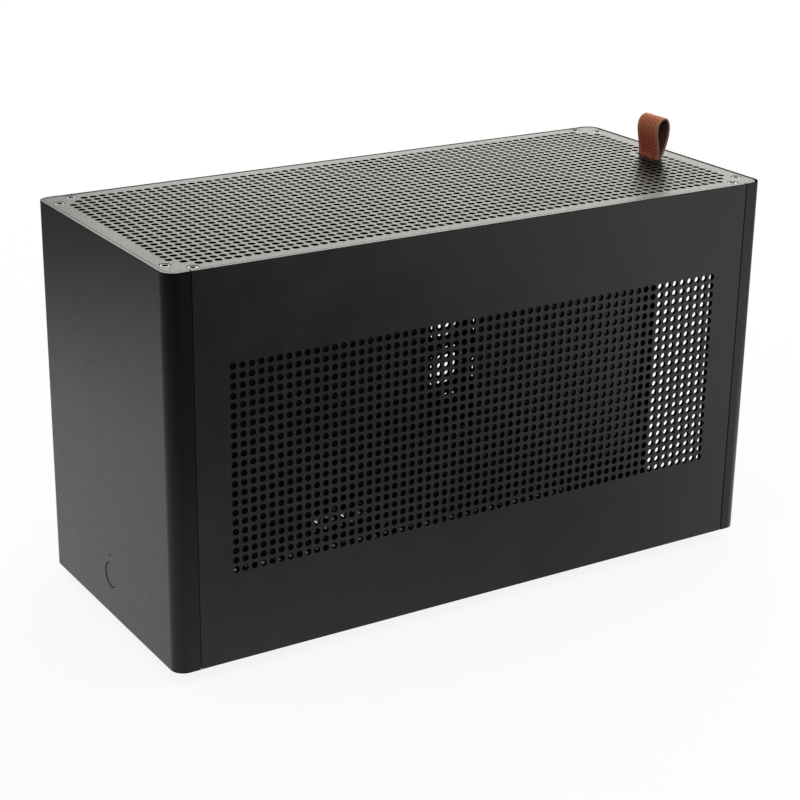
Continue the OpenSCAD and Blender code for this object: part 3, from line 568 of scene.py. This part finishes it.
def circle(radius, count, centre=(0.0, 0.0)):
    """Points of a circle, counter-clockwise: centre + radius (cos t, sin t)."""
    t = np.arange(count) * 2 * np.pi / count
    return np.stack([centre[0] + radius * np.cos(t), centre[1] + radius * np.sin(t)], 1)


def rounded_outline(half_a, half_b, corner, count):
    """Rounded rectangle, counter-clockwise: quarter circles of `count` points about the corner centres."""
    t = np.linspace(0, np.pi / 2, count)
    turn = np.arange(4)[:, None] * np.pi / 2 + t
    side_a = np.array([1, -1, -1, 1])[:, None]
    side_b = np.array([1, 1, -1, -1])[:, None]
    a = side_a * (half_a - corner) + corner * np.cos(turn)
    b = side_b * (half_b - corner) + corner * np.sin(turn)
    return np.stack([a, b], -1).reshape(-1, 2)


def level(points, height):
    """Flat points lifted to a height."""
    return np.column_stack([points, np.full(len(points), height)])


def within(points, loop):
    """Even-odd test: whether each point lies inside a closed loop."""
    x, y = points[:, :1], points[:, 1:2]
    x0, y0 = loop[:, 0], loop[:, 1]
    x1, y1 = np.roll(x0, -1), np.roll(y0, -1)
    crosses = (y0 > y) != (y1 > y)
    slope = (x1 - x0) / np.where(y1 == y0, 1.0, y1 - y0)
    return np.sum(crosses & (x < x0 + slope * (y - y0)), 1) % 2 == 1


# Perforated sheets


SAME_POINT = 1e-7


def hole_fans(build, grille, keep):
    """The square cells that hold a hole: face fan, chamfer, bore and back fan.

    Each hole is a circle of n points about the middle of its cell. Point k of the circle belongs to the
    cell's corner number k / (n / 4), so a quarter of the circle is joined to each corner, and one more
    triangle closes each side of the cell.
    """
    count, pitch = np.array(grille["count"]), np.array(grille["pitch"])
    radius, n = grille["radius"], grille["sides"]
    chamfer, back_chamfer = grille["chamfer"], grille["back"]
    lines = [(np.arange(c + 1) - c / 2) * p for c, p in zip(count, pitch)]
    lattice = np.stack(np.meshgrid(*lines, indexing="ij"), -1).reshape(-1, 2)
    number = np.arange(len(lattice)).reshape(count + 1)
    i, j = np.nonzero(keep)
    mids = np.stack([lines[0][i], lines[1][j]], 1) + pitch / 2
    corners = np.stack([number[i + 1, j + 1], number[i, j + 1], number[i, j], number[i + 1, j]], 1)
    front = build.add(level(lattice, SHEET_T))
    back = build.add(level(lattice, 0.0))
    rings = []
    steps = [(radius + chamfer, SHEET_T), (radius, SHEET_T - chamfer), (radius, back_chamfer)]
    if back_chamfer:
        steps.append((radius + back_chamfer, 0.0))
    for r, height in steps:
        around = (mids[:, None] + circle(r, n)).reshape(-1, 2)
        rings.append(build.add(level(around, height), 1.0).reshape(-1, n))
    quarter = np.arange(n) // (n // 4)
    for grid, ring, flip in ((front, rings[0], False), (back, rings[-1], True)):
        own = grid[corners]
        fan = np.stack([own[:, quarter], np.roll(ring, -1, 1), ring], -1).reshape(-1, 3)
        closing = np.stack([np.roll(own, 1, 1), own, ring[:, :: n // 4]], -1).reshape(-1, 3)
        both = np.concatenate([fan, closing])
        build.face(both[:, ::-1] if flip else both)
    for upper, lower in zip(rings, rings[1:]):
        build.face(np.stack([upper, np.roll(upper, -1, 1), np.roll(lower, -1, 1), lower], -1))
    return front, back, number


def cell_edges(keep, number):
    """The edges of the lattice between a cell with a hole and one without."""
    padded = np.pad(keep, 1)
    i, j = np.nonzero(padded[1:, 1:-1] != padded[:-1, 1:-1])
    upright = np.stack([number[i, j], number[i, j + 1]], 1)
    i, j = np.nonzero(padded[1:-1, 1:] != padded[1:-1, :-1])
    lying = np.stack([number[i, j], number[i + 1, j]], 1)
    return np.concatenate([upright, lying])


def fill_margin(build, edges, loops, grille, keep, upward):
    """Triangles for the plain part of a sheet's face, between the cells, the outline and the cuts.

    loops holds rings of point numbers: the outline first, then the cuts. A constrained triangulation of
    their points gives all faces, and those outside the outline, inside a cut or inside a cell are dropped.
    """
    points = np.concatenate(build.points)[:, :2]
    around = [np.stack([loop, np.roll(loop, -1)], 1) for loop in loops]
    edges = np.concatenate([edges, *around])
    used = np.unique(edges)
    number = np.full(len(points), -1)
    number[used] = np.arange(len(used))
    flat = points[used]
    result = delaunay_2d_cdt([Vector(p) for p in flat], number[edges].tolist(), [], 0, SAME_POINT)
    origin = np.array([first[0] for first in result[3]])
    faces = origin[np.array([list(face) for face in result[2]])]
    mid = flat[faces].mean(1)
    good = within(mid, points[loops[0]])
    for loop in loops[1:]:
        good &= ~within(mid, points[loop])
    count, pitch = np.array(grille["count"]), np.array(grille["pitch"])
    cell = np.floor(mid / pitch + count / 2).astype(int)
    inside = np.all((cell >= 0) & (cell < count), 1)
    in_cell = np.zeros(len(mid), bool)
    in_cell[inside] = keep[tuple(cell[inside].T)]
    faces = faces[good & ~in_cell]
    a, b, c = np.moveaxis(flat[faces], 1, 0)
    turn = (b - a)[:, 0] * (c - a)[:, 1] - (b - a)[:, 1] * (c - a)[:, 0]
    wrong = (turn > 0) != upward
    faces[wrong] = faces[wrong][:, ::-1]
    build.face(used[faces])


def perforated_sheet(grille, keep, half, corner, edge, cuts):
    """A flat sheet with round holes: its face at the sheet's thickness, its back at zero.

    half is half its size, edge the chamfer of its outline, and cuts is a list of openings, each a list of
    rings of points with their heights, from the face down to the back.
    """
    build = Build()
    front, back, number = hole_fans(build, grille, keep)
    inner_corner = max(corner - edge, SMALLEST_CORNER)
    inner = rounded_outline(half[0] - edge, half[1] - edge, inner_corner, CORNER_POINTS)
    outer = rounded_outline(half[0], half[1], corner, CORNER_POINTS)
    rim = build.add(level(inner, SHEET_T))
    wall = build.add(level(outer, SHEET_T - edge))
    foot = build.add(level(outer, 0.0))
    build.band(rim, wall)
    build.band(wall, foot)
    tops, lows = [rim], [foot]
    for cut in cuts:
        rings = [build.add(level(points, height)) for points, height in cut]
        for upper, lower in zip(rings, rings[1:]):
            build.band(upper[::-1], lower[::-1])
        tops.append(rings[0])
        lows.append(rings[-1])
    edges = cell_edges(keep, number)
    fill_margin(build, front[edges], tops, grille, keep, True)
    fill_margin(build, back[edges], lows, grille, keep, False)
    return build


def round_cut(grille, spot):
    """One hole of a grille as a cut of its own, where its square cell has no room."""
    radius, chamfer = grille["radius"], grille["chamfer"]
    rings = [circle(r, grille["sides"], spot) for r in (radius + chamfer, radius, radius)]
    return list(zip(rings, (SHEET_T, SHEET_T - chamfer, 0.0)))


def side_panel(side, node, name):
    """A perforated side panel; its face looks along side, which is 1 or -1 on X."""
    middle, half = box_mm(node)
    keep = np.ones(SIDE_GRILLE["count"], bool)
    build = perforated_sheet(SIDE_GRILLE, keep, half[1:] + (SIDE_SPARE, 0.0), SIDE_CORNER, SIDE_CHAMFER, [])
    inner = middle[0] - side * half[0]

    def to_case(p):
        return np.stack([inner + side * p[:, 2], middle[1] + side * p[:, 0], middle[2] + p[:, 1]], 1)

    mesh = build.mesh(name, to_case, "hole")
    return piece(name, mesh, materials["side"], node)


def screw_spots():
    """Middles of the eight screw heads, which are the same on the cover and on the bottom."""
    return [(sa * a, sb * b) for sa in (-1, 1) for sb in (-1, 1) for a, b in SCREW_PLACES]


def top_cover():
    """The perforated cover, with three holes left out in each corner, screw seats and the tab's slot.

    A hole that the slot would meet is left out, and one whose square cell it would meet is cut singly.
    """
    middle, half = box_mm("top_cover")
    (na, nb), (pa, pb) = TOP_GRILLE["count"], TOP_GRILLE["pitch"]
    i, j = np.meshgrid(np.arange(na), np.arange(nb), indexing="ij")
    a, b = (i - (na - 1) / 2) * pa, (j - (nb - 1) / 2) * pb
    beside = abs(a - TAB_SPOT[0]) - TAB_SLOT_HALF[0], abs(b - TAB_SPOT[1]) - TAB_SLOT_HALF[1]
    keep = np.minimum(i, na - 1 - i) + np.minimum(j, nb - 1 - j) >= HOLES_LEFT_OUT
    clear = TOP_GRILLE["radius"] + SLOT_WEB
    keep &= (beside[0] >= clear) | (beside[1] >= clear)
    crowded = keep & (beside[0] < pa / 2 + CELL_ROOM) & (beside[1] < pb / 2 + CELL_ROOM)
    keep &= ~crowded
    cone = SCREW_HOLE_R - SCREW_BORE_R
    cuts = [round_cut(TOP_GRILLE, spot) for spot in zip(a[crowded], b[crowded])]
    for spot in screw_spots():
        rings = [circle(r, SCREW_HOLE_SIDES, spot) for r in (SCREW_HOLE_R, SCREW_BORE_R, SCREW_BORE_R)]
        cuts.append(list(zip(rings, (SHEET_T, SHEET_T - cone, 0.0))))
    slot = []
    for grown in (TAB_SLOT_CHAMFER, 0, 0):
        half_a, half_b = TAB_SLOT_HALF[0] + grown, TAB_SLOT_HALF[1] + grown
        slot.append(rounded_outline(half_a, half_b, TAB_SLOT_CORNER + grown, TAB_SLOT_POINTS) + TAB_SPOT)
    cuts.append(list(zip(slot, (SHEET_T, SHEET_T - TAB_SLOT_CHAMFER, 0.0))))
    outline = half[:2] + COVER_SPARE
    build = perforated_sheet(TOP_GRILLE, keep, outline, COVER_CORNER, COVER_CHAMFER, cuts)
    low = middle[2] - half[2]
    mesh = build.mesh("cover_sheet", lambda p: p + (0, 0, low), "hole")
    return piece("cover_sheet", mesh, materials["top"], "top_cover")


# Shells with broken edges


# Distances in millimetres and angles in degrees.
MERGE_DISTANCE = 0.001
FACE_DEPTH = 0.01
FLAT_ANGLE = 0.5
EDGE_ANGLE = 40.0
SHELL_CREASE = 32.0


def softened(node, name, finish, width, sunk=0.0):
    """A merged copy of a node with a small round on each hard edge, its front face set back by sunk."""
    build = bmesh.new()
    build.from_mesh(nodes[node].data)
    bmesh.ops.remove_doubles(build, verts=build.verts, dist=MERGE_DISTANCE * MM)
    face_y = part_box(node)[0][1] + FACE_DEPTH * MM
    front = [v for v in build.verts if sunk and v.co.y < face_y]
    bmesh.ops.translate(build, verts=front, vec=(0.0, sunk * MM, 0.0))
    flat = math.radians(FLAT_ANGLE)
    plain = {"verts": build.verts, "edges": build.edges, "delimit": {"NORMAL"}}
    bmesh.ops.dissolve_limit(build, angle_limit=flat, **plain)
    mesh = bpy.data.meshes.new(name)
    build.to_mesh(mesh)
    build.free()
    mesh.materials.clear()
    obj = piece(name, mesh, finish, node, SHELL_CREASE)
    bevel = obj.modifiers.new("broken edge", "BEVEL")
    bevel.width = width * MM
    bevel.segments = 2
    bevel.limit_method = "ANGLE"
    bevel.angle_limit = math.radians(EDGE_ANGLE)
    even = obj.modifiers.new("even shading", "WEIGHTED_NORMAL")
    even.keep_sharp = True
    return obj


# Leather tab


def strap_line(count):
    """Middle line of the strap, seen from the side: points (y, z) from the root, over the loop and back.

    The angle a runs from just above 0 to just below 360 degrees. The loop is
    y = -bulge sin a sin(a/2)^power - root cos(a/2) + lean (1 - cos a) / 2, z = height (1 - cos a) / 2,
    where the front half has a wide bulge high up and the rear half a flatter one lower down. Below the
    cover's face both ends run straight down.
    """
    height = TAB_HEIGHT - STRAP_T / 2
    root_y = (STRAP_T + STRAP_GAP) / 2
    a = np.radians(np.linspace(BEND_FROM, 360 - BEND_FROM, count))
    front = a < np.pi
    bulge = np.where(front, FRONT_BULGE, REAR_BULGE)
    power = np.where(front, FRONT_POWER, REAR_POWER)
    rise = (1 - np.cos(a)) / 2
    y = -bulge * np.sin(a) * np.sin(a / 2) ** power - root_y * np.cos(a / 2) + TAB_LEAN * rise
    down = np.linspace(-TAB_ROOT, -ROOT_STOP, ROOT_ROWS)
    y = np.concatenate([np.full(ROOT_ROWS, -root_y), y, np.full(ROOT_ROWS, root_y)])
    z = np.concatenate([down, height * rise, down[::-1]])
    return np.stack([y, z], 1)


def strap_section():
    """Section of the strap: points (across, out) counter-clockwise, with what each point is.

    The outer face is slightly crowned and has a line pressed in beside each edge:
    out = t/2 - crown (2 across / w)^2 - depth e^-((|across| - line) / line's width)^2.
    The cut edges are round: across = w/2 - r + r cos a, out = (r + swell) sin a.
    """
    half, round_r = STRAP_W / 2, STRAP_T / 2 - CUT_FLAT
    turn = np.linspace(-np.pi / 2, np.pi / 2, ROUND_POINTS)
    line_at = half - LINE_INSET
    face = np.linspace(-half + round_r, half - round_r, FACE_POINTS)
    near_line = abs(abs(face) - line_at) < LINE_ROOM
    across_line = np.array([-2.0, -1.0, -0.5, 0.0, 0.5, 1.0, 2.0]) * LINE_W
    face = np.sort(np.concatenate([face[~near_line], across_line - line_at, across_line + line_at]))
    dip = np.exp(-(((abs(face) - line_at) / LINE_W) ** 2))
    crown = STRAP_CROWN * (1 - (face / half) ** 2)
    out = STRAP_T / 2 - STRAP_CROWN + crown - LINE_DEPTH * dip
    right = np.stack([half - round_r + round_r * np.cos(turn), (round_r + CUT_SWELL) * np.sin(turn)], 1)
    left = -right
    upper = np.stack([face[::-1], out[::-1]], 1)
    lower = np.stack([face, np.full(len(face), -STRAP_T / 2)], 1)
    points = np.concatenate([right, upper[1:-1], left, lower[1:-1]])
    lengths = [len(right), len(upper) - 2, len(left), len(lower) - 2]
    inner = np.repeat([0.0, 0.0, 0.0, 1.0], lengths)
    cut = np.repeat([1.0, 0.0, 1.0, 0.0], lengths)
    pressed = np.zeros(len(points))
    pressed[lengths[0] : lengths[0] + lengths[1]] = dip[::-1][1:-1]
    return points, np.stack([inner, cut, pressed])


def strap_marks(mesh, line, section, kinds):
    """The strap's map, millimetres along it and across it, and the attributes that say what a point is."""
    rows, around = len(line), len(section)
    length = np.concatenate([[0], np.cumsum(np.linalg.norm(np.diff(line, axis=0), axis=1))])
    reach = np.linalg.norm(np.diff(np.vstack([section, section[:1]]), axis=0), axis=1)
    place = np.concatenate([[0], np.cumsum(reach)[:-1]])
    chart = np.stack(np.meshgrid(length, place, indexing="ij"), -1).reshape(-1, 2)
    chart = np.vstack([chart, [[0, 0], [length[-1], 0]]])
    corners = np.empty(len(mesh.loops), np.int32)
    mesh.loops.foreach_get("vertex_index", corners)
    mesh.uv_layers.new(name="strap").data.foreach_set("uv", chart[corners].ravel())
    height = np.repeat(np.clip(line[:, 1] / TAB_HEIGHT, 0, 1), around)
    for name, kind in zip(STRAP_PARTS, [*np.tile(kinds, (1, rows)), height]):
        layer = mesh.attributes.new(name, "FLOAT", "POINT")
        layer.data.foreach_set("value", np.append(kind, [0.0, 0.0]).astype(np.float32))


def leather_tab():
    """The strap swept along its line: point = line + across X + out N, N square to the line."""
    line = strap_line(STRAP_ROWS)
    step = np.gradient(line, axis=0)
    step /= np.linalg.norm(step, axis=1)[:, None]
    outward = np.stack([-step[:, 1], step[:, 0]], 1)
    section, kinds = strap_section()
    rows, around = len(line), len(section)
    x = TAB_SPOT[0] + STRAP_SHIFT[0] + np.tile(section[:, 0], (rows, 1))
    y = TAB_SPOT[1] + STRAP_SHIFT[1] + line[:, :1] + outward[:, :1] * section[:, 1]
    z = COVER_FACE + line[:, 1:] + outward[:, 1:] * section[:, 1]
    build = Build()
    number = build.add(np.stack([x, y, z], -1)).reshape(rows, around)
    for first, second in zip(number[1:], number[:-1]):
        build.band(first, second)
    mids = [build.add(np.array([[TAB_SPOT[0], y[k].mean(), z[k].mean()]])) for k in (0, -1)]
    ahead = np.roll(number, -1, 1)
    build.face(np.stack([number[0], np.full(around, mids[0]), ahead[0]], -1))
    build.face(np.stack([ahead[-1], np.full(around, mids[1]), number[-1]], -1))
    mesh = build.mesh("leather_strap")
    strap_marks(mesh, line, section, kinds)
    return piece("leather_strap", mesh, materials["leather"], "pull_tab", crease=60.0)


# Countersunk screws


def screw_rows():
    """Rows of a socket screw, from the middle of the socket's floor out and down to the tip.

    Each row is (radius, height, hexagon, hidden): the point at angle t has the row's radius, or in a
    hexagon row the radius that puts it on a flat, flat / cos(t folded into 30 degrees either way). hidden
    is the share of painted shade, 1 where the row lies in the socket or below the head's face.
    """
    return [
        (0.30, -1.50, False, 1.0),
        (0.80, -1.38, False, 1.0),
        (SOCKET_FLAT, -1.25, True, 1.0),
        (SOCKET_FLAT, -0.40, True, 1.0),
        (1.48, -0.18, False, 0.4),
        (1.56, -0.14, False, 0.0),
        (2.12, -0.14, False, 0.0),
        (2.22, -0.19, False, 0.2),
        (2.34, -0.36, False, 1.0),
        (2.60, -0.62, False, 1.0),
        (SHANK_R + 0.05, -1.38, False, 1.0),
        (SHANK_R, -1.50, False, 1.0),
        (SHANK_R, SCREW_TIP + 0.3, False, 1.0),
        (SHANK_R - 0.3, SCREW_TIP, False, 1.0),
    ]


def socket_screws(name, node, face, spots):
    """Screws with a hexagon socket, each turned by an amount of its own.

    face is the height of their faces, and 1 where they look up or -1 where they look down.
    """
    height, up = face
    t = np.arange(SCREW_SIDES) * 2 * np.pi / SCREW_SIDES
    fold = (t + np.pi / 6) % (np.pi / 3) - np.pi / 6
    build = Build()
    for centre in spots:
        spin = (centre[0] * SCREW_TURN[0] + centre[1] * SCREW_TURN[1]) % np.pi
        rings = []
        for radius, drop, hexagon, hidden in screw_rows():
            r = radius / np.cos(fold) if hexagon else np.full(SCREW_SIDES, radius)
            x = centre[0] + r * np.cos(t + spin)
            y = centre[1] + up * r * np.sin(t + spin)
            ring = np.stack([x, y, np.full(SCREW_SIDES, height + up * drop)], 1)
            rings.append(build.add(ring, hidden))
        for inner, outer in zip(rings, rings[1:]):
            build.band(inner, outer)
        for ring, low, flip in ((rings[0], SOCKET_FLOOR, False), (rings[-1], SCREW_TIP, True)):
            mid = build.add([[centre[0], centre[1], height + up * low]], 1.0)
            corners = np.stack([np.full(SCREW_SIDES, mid), ring, np.roll(ring, -1)], -1)
            build.face(corners[:, ::-1] if flip else corners)
    mesh = build.mesh(name, attribute="hidden")
    return piece(name, mesh, materials["head"], node, crease=28.0)


# Materials and which piece has which


materials = {
    "side": anodised("anodised side panel", 0.015, side_rims),
    "top": anodised("anodised top cover", 0.0105, top_rims, 1.8),
    "shell": anodised("anodised shell", 0.0035),
    "plain": anodised("anodised plain", 0.0105),
    "steel": powder_coat("black powder coat", (0.012, 0.012, 0.0125)),
    "screw": plated("bright screws", BRIGHT_STEEL),
    "head": screw_heads(),
    "brass": plated("brass", (0.62, 0.45, 0.18)),
    "nickel": plated("nickel pins", (0.66, 0.62, 0.54)),
    "nylon": moulded("natural nylon", (0.55, 0.54, 0.5)),
    "black plastic": moulded("black plastic", (0.02, 0.02, 0.02)),
    "rubber": moulded("black rubber", (0.022, 0.022, 0.022), 0.75),
    "board": moulded("lacquered board", (0.02, 0.11, 0.045), 0.3),
    "clear": moulded("clear rod", (0.7, 0.74, 0.76), 0.15),
    "leather": leather(),
}

NODE_FINISH = {
    "bottom_plate": "plain",
    "button_cap": "shell",
    "rubber_feet": "rubber",
    "power_inlet": "black plastic",
    "button_carrier": "black plastic",
    "tact_switch": "black plastic",
    "switch_board": "board",
    "led_pipe": "clear",
    "inlet_pins": "nickel",
    "inlet_screws": "steel",
    "board_standoffs": "brass",
    "cover_sockets": "nylon",
    "panel_sockets": "nylon",
}
SCREW_NODES = ("screws", "studs", "rivets")


def dress(obj, material):
    """Gives an object this one material."""
    obj.data.materials.clear()
    obj.data.materials.append(material)


for name, obj in nodes.items():
    usual = "screw" if name.endswith(SCREW_NODES) else "steel"
    dress(obj, materials[NODE_FINISH.get(name, usual)])

side_panel(1, "right_side_panel", "right_sheet")
side_panel(-1, "left_side_panel", "left_sheet")
top_cover()
softened("front_shell", "front_wrap", materials["shell"], SHELL_ROUND)
softened("rear_shell", "rear_wrap", materials["shell"], SHELL_ROUND)
softened("button_cap", "round_button", materials["shell"], BUTTON_ROUND, BUTTON_SUNK)
leather_tab()
socket_screws("cover_screw_set", "cover_screws", (COVER_FACE, 1), screw_spots())
socket_screws("bottom_screw_set", "bottom_screws", (BOTTOM_FACE, -1), screw_spots())


# Floor, light and camera


OPAQUE_WHITE = (*WHITE, 1.0)
BACK_LIGHT = 2.25
BACK_TINT = (1.0, 0.99, 0.91)
KEY_LIGHT = 1.2
ROOM = 0.62
NEAR_SIDE = (0.846, -0.532)
POOL_SPOT = (-0.10, -0.24)
FLOOR_WIDTH = 12.0


def plane(name, width):
    """A square card on the ground."""
    mesh = bpy.data.meshes.new(name)
    half = width / 2
    corners = [(a * half, b * half, 0) for a, b in ((-1, -1), (1, -1), (1, 1), (-1, 1))]
    mesh.from_pydata(corners, [], [(0, 1, 2, 3)])
    obj = bpy.data.objects.new(name, mesh)
    bpy.context.scene.collection.objects.link(obj)
    return obj


def floor_finish():
    """Pale floor: plain white to the camera with a faint shadow, and a lit pool of white in reflections.

    The pool is a round one before the case's front, a band behind its right side, and a faint glow far to
    the left. Under the case the floor is shown as it is lit, so that it looks dark through the holes, and
    from below it is clear.
    """
    material = bpy.data.materials.new("floor")
    material.use_nodes = True
    t = Nodes(material.node_tree)
    end = t.tree.nodes.new("ShaderNodeOutputMaterial")
    x, y, _ = t.axes(t.place())
    dx, dy = x - POOL_SPOT[0], y - POOL_SPOT[1]
    away = (dx * dx + dy * dy).root()
    side_pool = t.step(y - x * 0.35, -0.05, 0.34, 0.0, 1.7) * t.step(y - x, 0.12, 0.4, 1.0, 0.3)
    pool = t.step(away, 0.08, 0.62, 1.14, 0.08) + side_pool + t.step(x, -0.45, -0.2, 0.1, 0.0)
    under = distance_in(t, x, y, CASE_HALF[0] * MM, CASE_HALF[1] * MM, CORNER_R * MM)
    bare = t.step(under, 0.012, 0.02, 0.88, 0.0)
    pooled = t.add("ShaderNodeEmission", {}, [OPAQUE_WHITE, pool])
    white = t.add("ShaderNodeEmission", {}, [OPAQUE_WHITE, 1.0])
    matt = t.add("ShaderNodeBsdfDiffuse", {}, [(0.80, 0.80, 0.80, 1.0)])
    shown = t.shaders(bare, t.add("ShaderNodeBsdfDiffuse", {}, [OPAQUE_WHITE]), white)
    surface = t.shaders(t.ray("Is Glossy Ray"), matt, pooled)
    surface = t.shaders(t.ray("Is Camera Ray"), surface, shown)
    behind = t.add("ShaderNodeNewGeometry", {}, {}, "Backfacing")
    surface = t.shaders(behind, surface, t.add("ShaderNodeBsdfTransparent", {}, {}))
    t.tree.links.new(surface.socket, end.inputs["Surface"])
    return material


def studio_room():
    """White to the camera; a soft grey room for the light, darker on the near side in reflections."""
    world = bpy.data.worlds.new("studio")
    bpy.context.scene.world = world
    world.use_nodes = True
    t = Nodes(world.node_tree)
    end = t.tree.nodes.new("ShaderNodeOutputWorld")
    direction = t.add("ShaderNodeTexCoord", {}, {}, "Generated")
    x, y, _ = t.axes(direction)
    near = x * NEAR_SIDE[0] + y * NEAR_SIDE[1]
    glow = t.step(near, -0.5, 0.6, 1.0, 0.12)
    lit = t.add("ShaderNodeBackground", {}, [(ROOM, ROOM, ROOM, 1.0), 1.0])
    mirrored = t.add("ShaderNodeBackground", {}, [OPAQUE_WHITE, glow])
    white = t.add("ShaderNodeBackground", {}, [OPAQUE_WHITE, 1.0])
    shown = t.shaders(t.ray("Is Glossy Ray"), lit, mirrored)
    shown = t.shaders(t.ray("Is Camera Ray"), shown, white)
    t.tree.links.new(shown.socket, end.inputs["Surface"])


def softbox(name, place, target, width, height, radiance, tint):
    """An area light that gives this radiance: power = radiance * pi * area."""
    data = bpy.data.lights.new(name, "AREA")
    data.shape = "RECTANGLE"
    data.color = tint
    data.size = width
    data.size_y = height
    data.energy = radiance * math.pi * width * height
    lamp = bpy.data.objects.new(name, data)
    bpy.context.scene.collection.objects.link(lamp)
    lamp.location = place
    toward = Vector(target) - Vector(place)
    lamp.rotation_euler = toward.to_track_quat("-Z", "Y").to_euler()
    lamp.visible_camera = False


def camera():
    """The photograph's view, from the two hole grids: 88 mm lens, about a metre away, 21 degrees up."""
    data = bpy.data.cameras.new("camera")
    obj = bpy.data.objects.new("camera", data)
    bpy.context.scene.collection.objects.link(obj)
    data.lens = 87.87
    data.sensor_width = 36.0
    data.clip_start = 0.01
    right = (0.52520, 0.85088, 0.01322)
    up = (-0.30683, 0.17485, 0.93556)
    back = (0.79374, -0.49541, 0.35291)
    spot = (0.76955, -0.48378, 0.42629)
    obj.matrix_world = Matrix([(right[k], up[k], back[k], spot[k]) for k in range(3)] + [(0, 0, 0, 1)])
    bpy.context.scene.camera = obj


dress(plane("floor", FLOOR_WIDTH), floor_finish())
studio_room()
softbox(
    "back softbox",
    place=(-1.95, 2.05, 1.15),
    target=(0, 0, 0.19),
    width=3.0,
    height=1.9,
    radiance=BACK_LIGHT,
    tint=BACK_TINT,
)
softbox(
    "overhead softbox",
    place=(0.3, -0.2, 2.6),
    target=(0, 0, 0.1),
    width=2.2,
    height=2.2,
    radiance=KEY_LIGHT,
    tint=WHITE,
)
camera()

bpy.context.scene.view_settings.view_transform = "Standard"
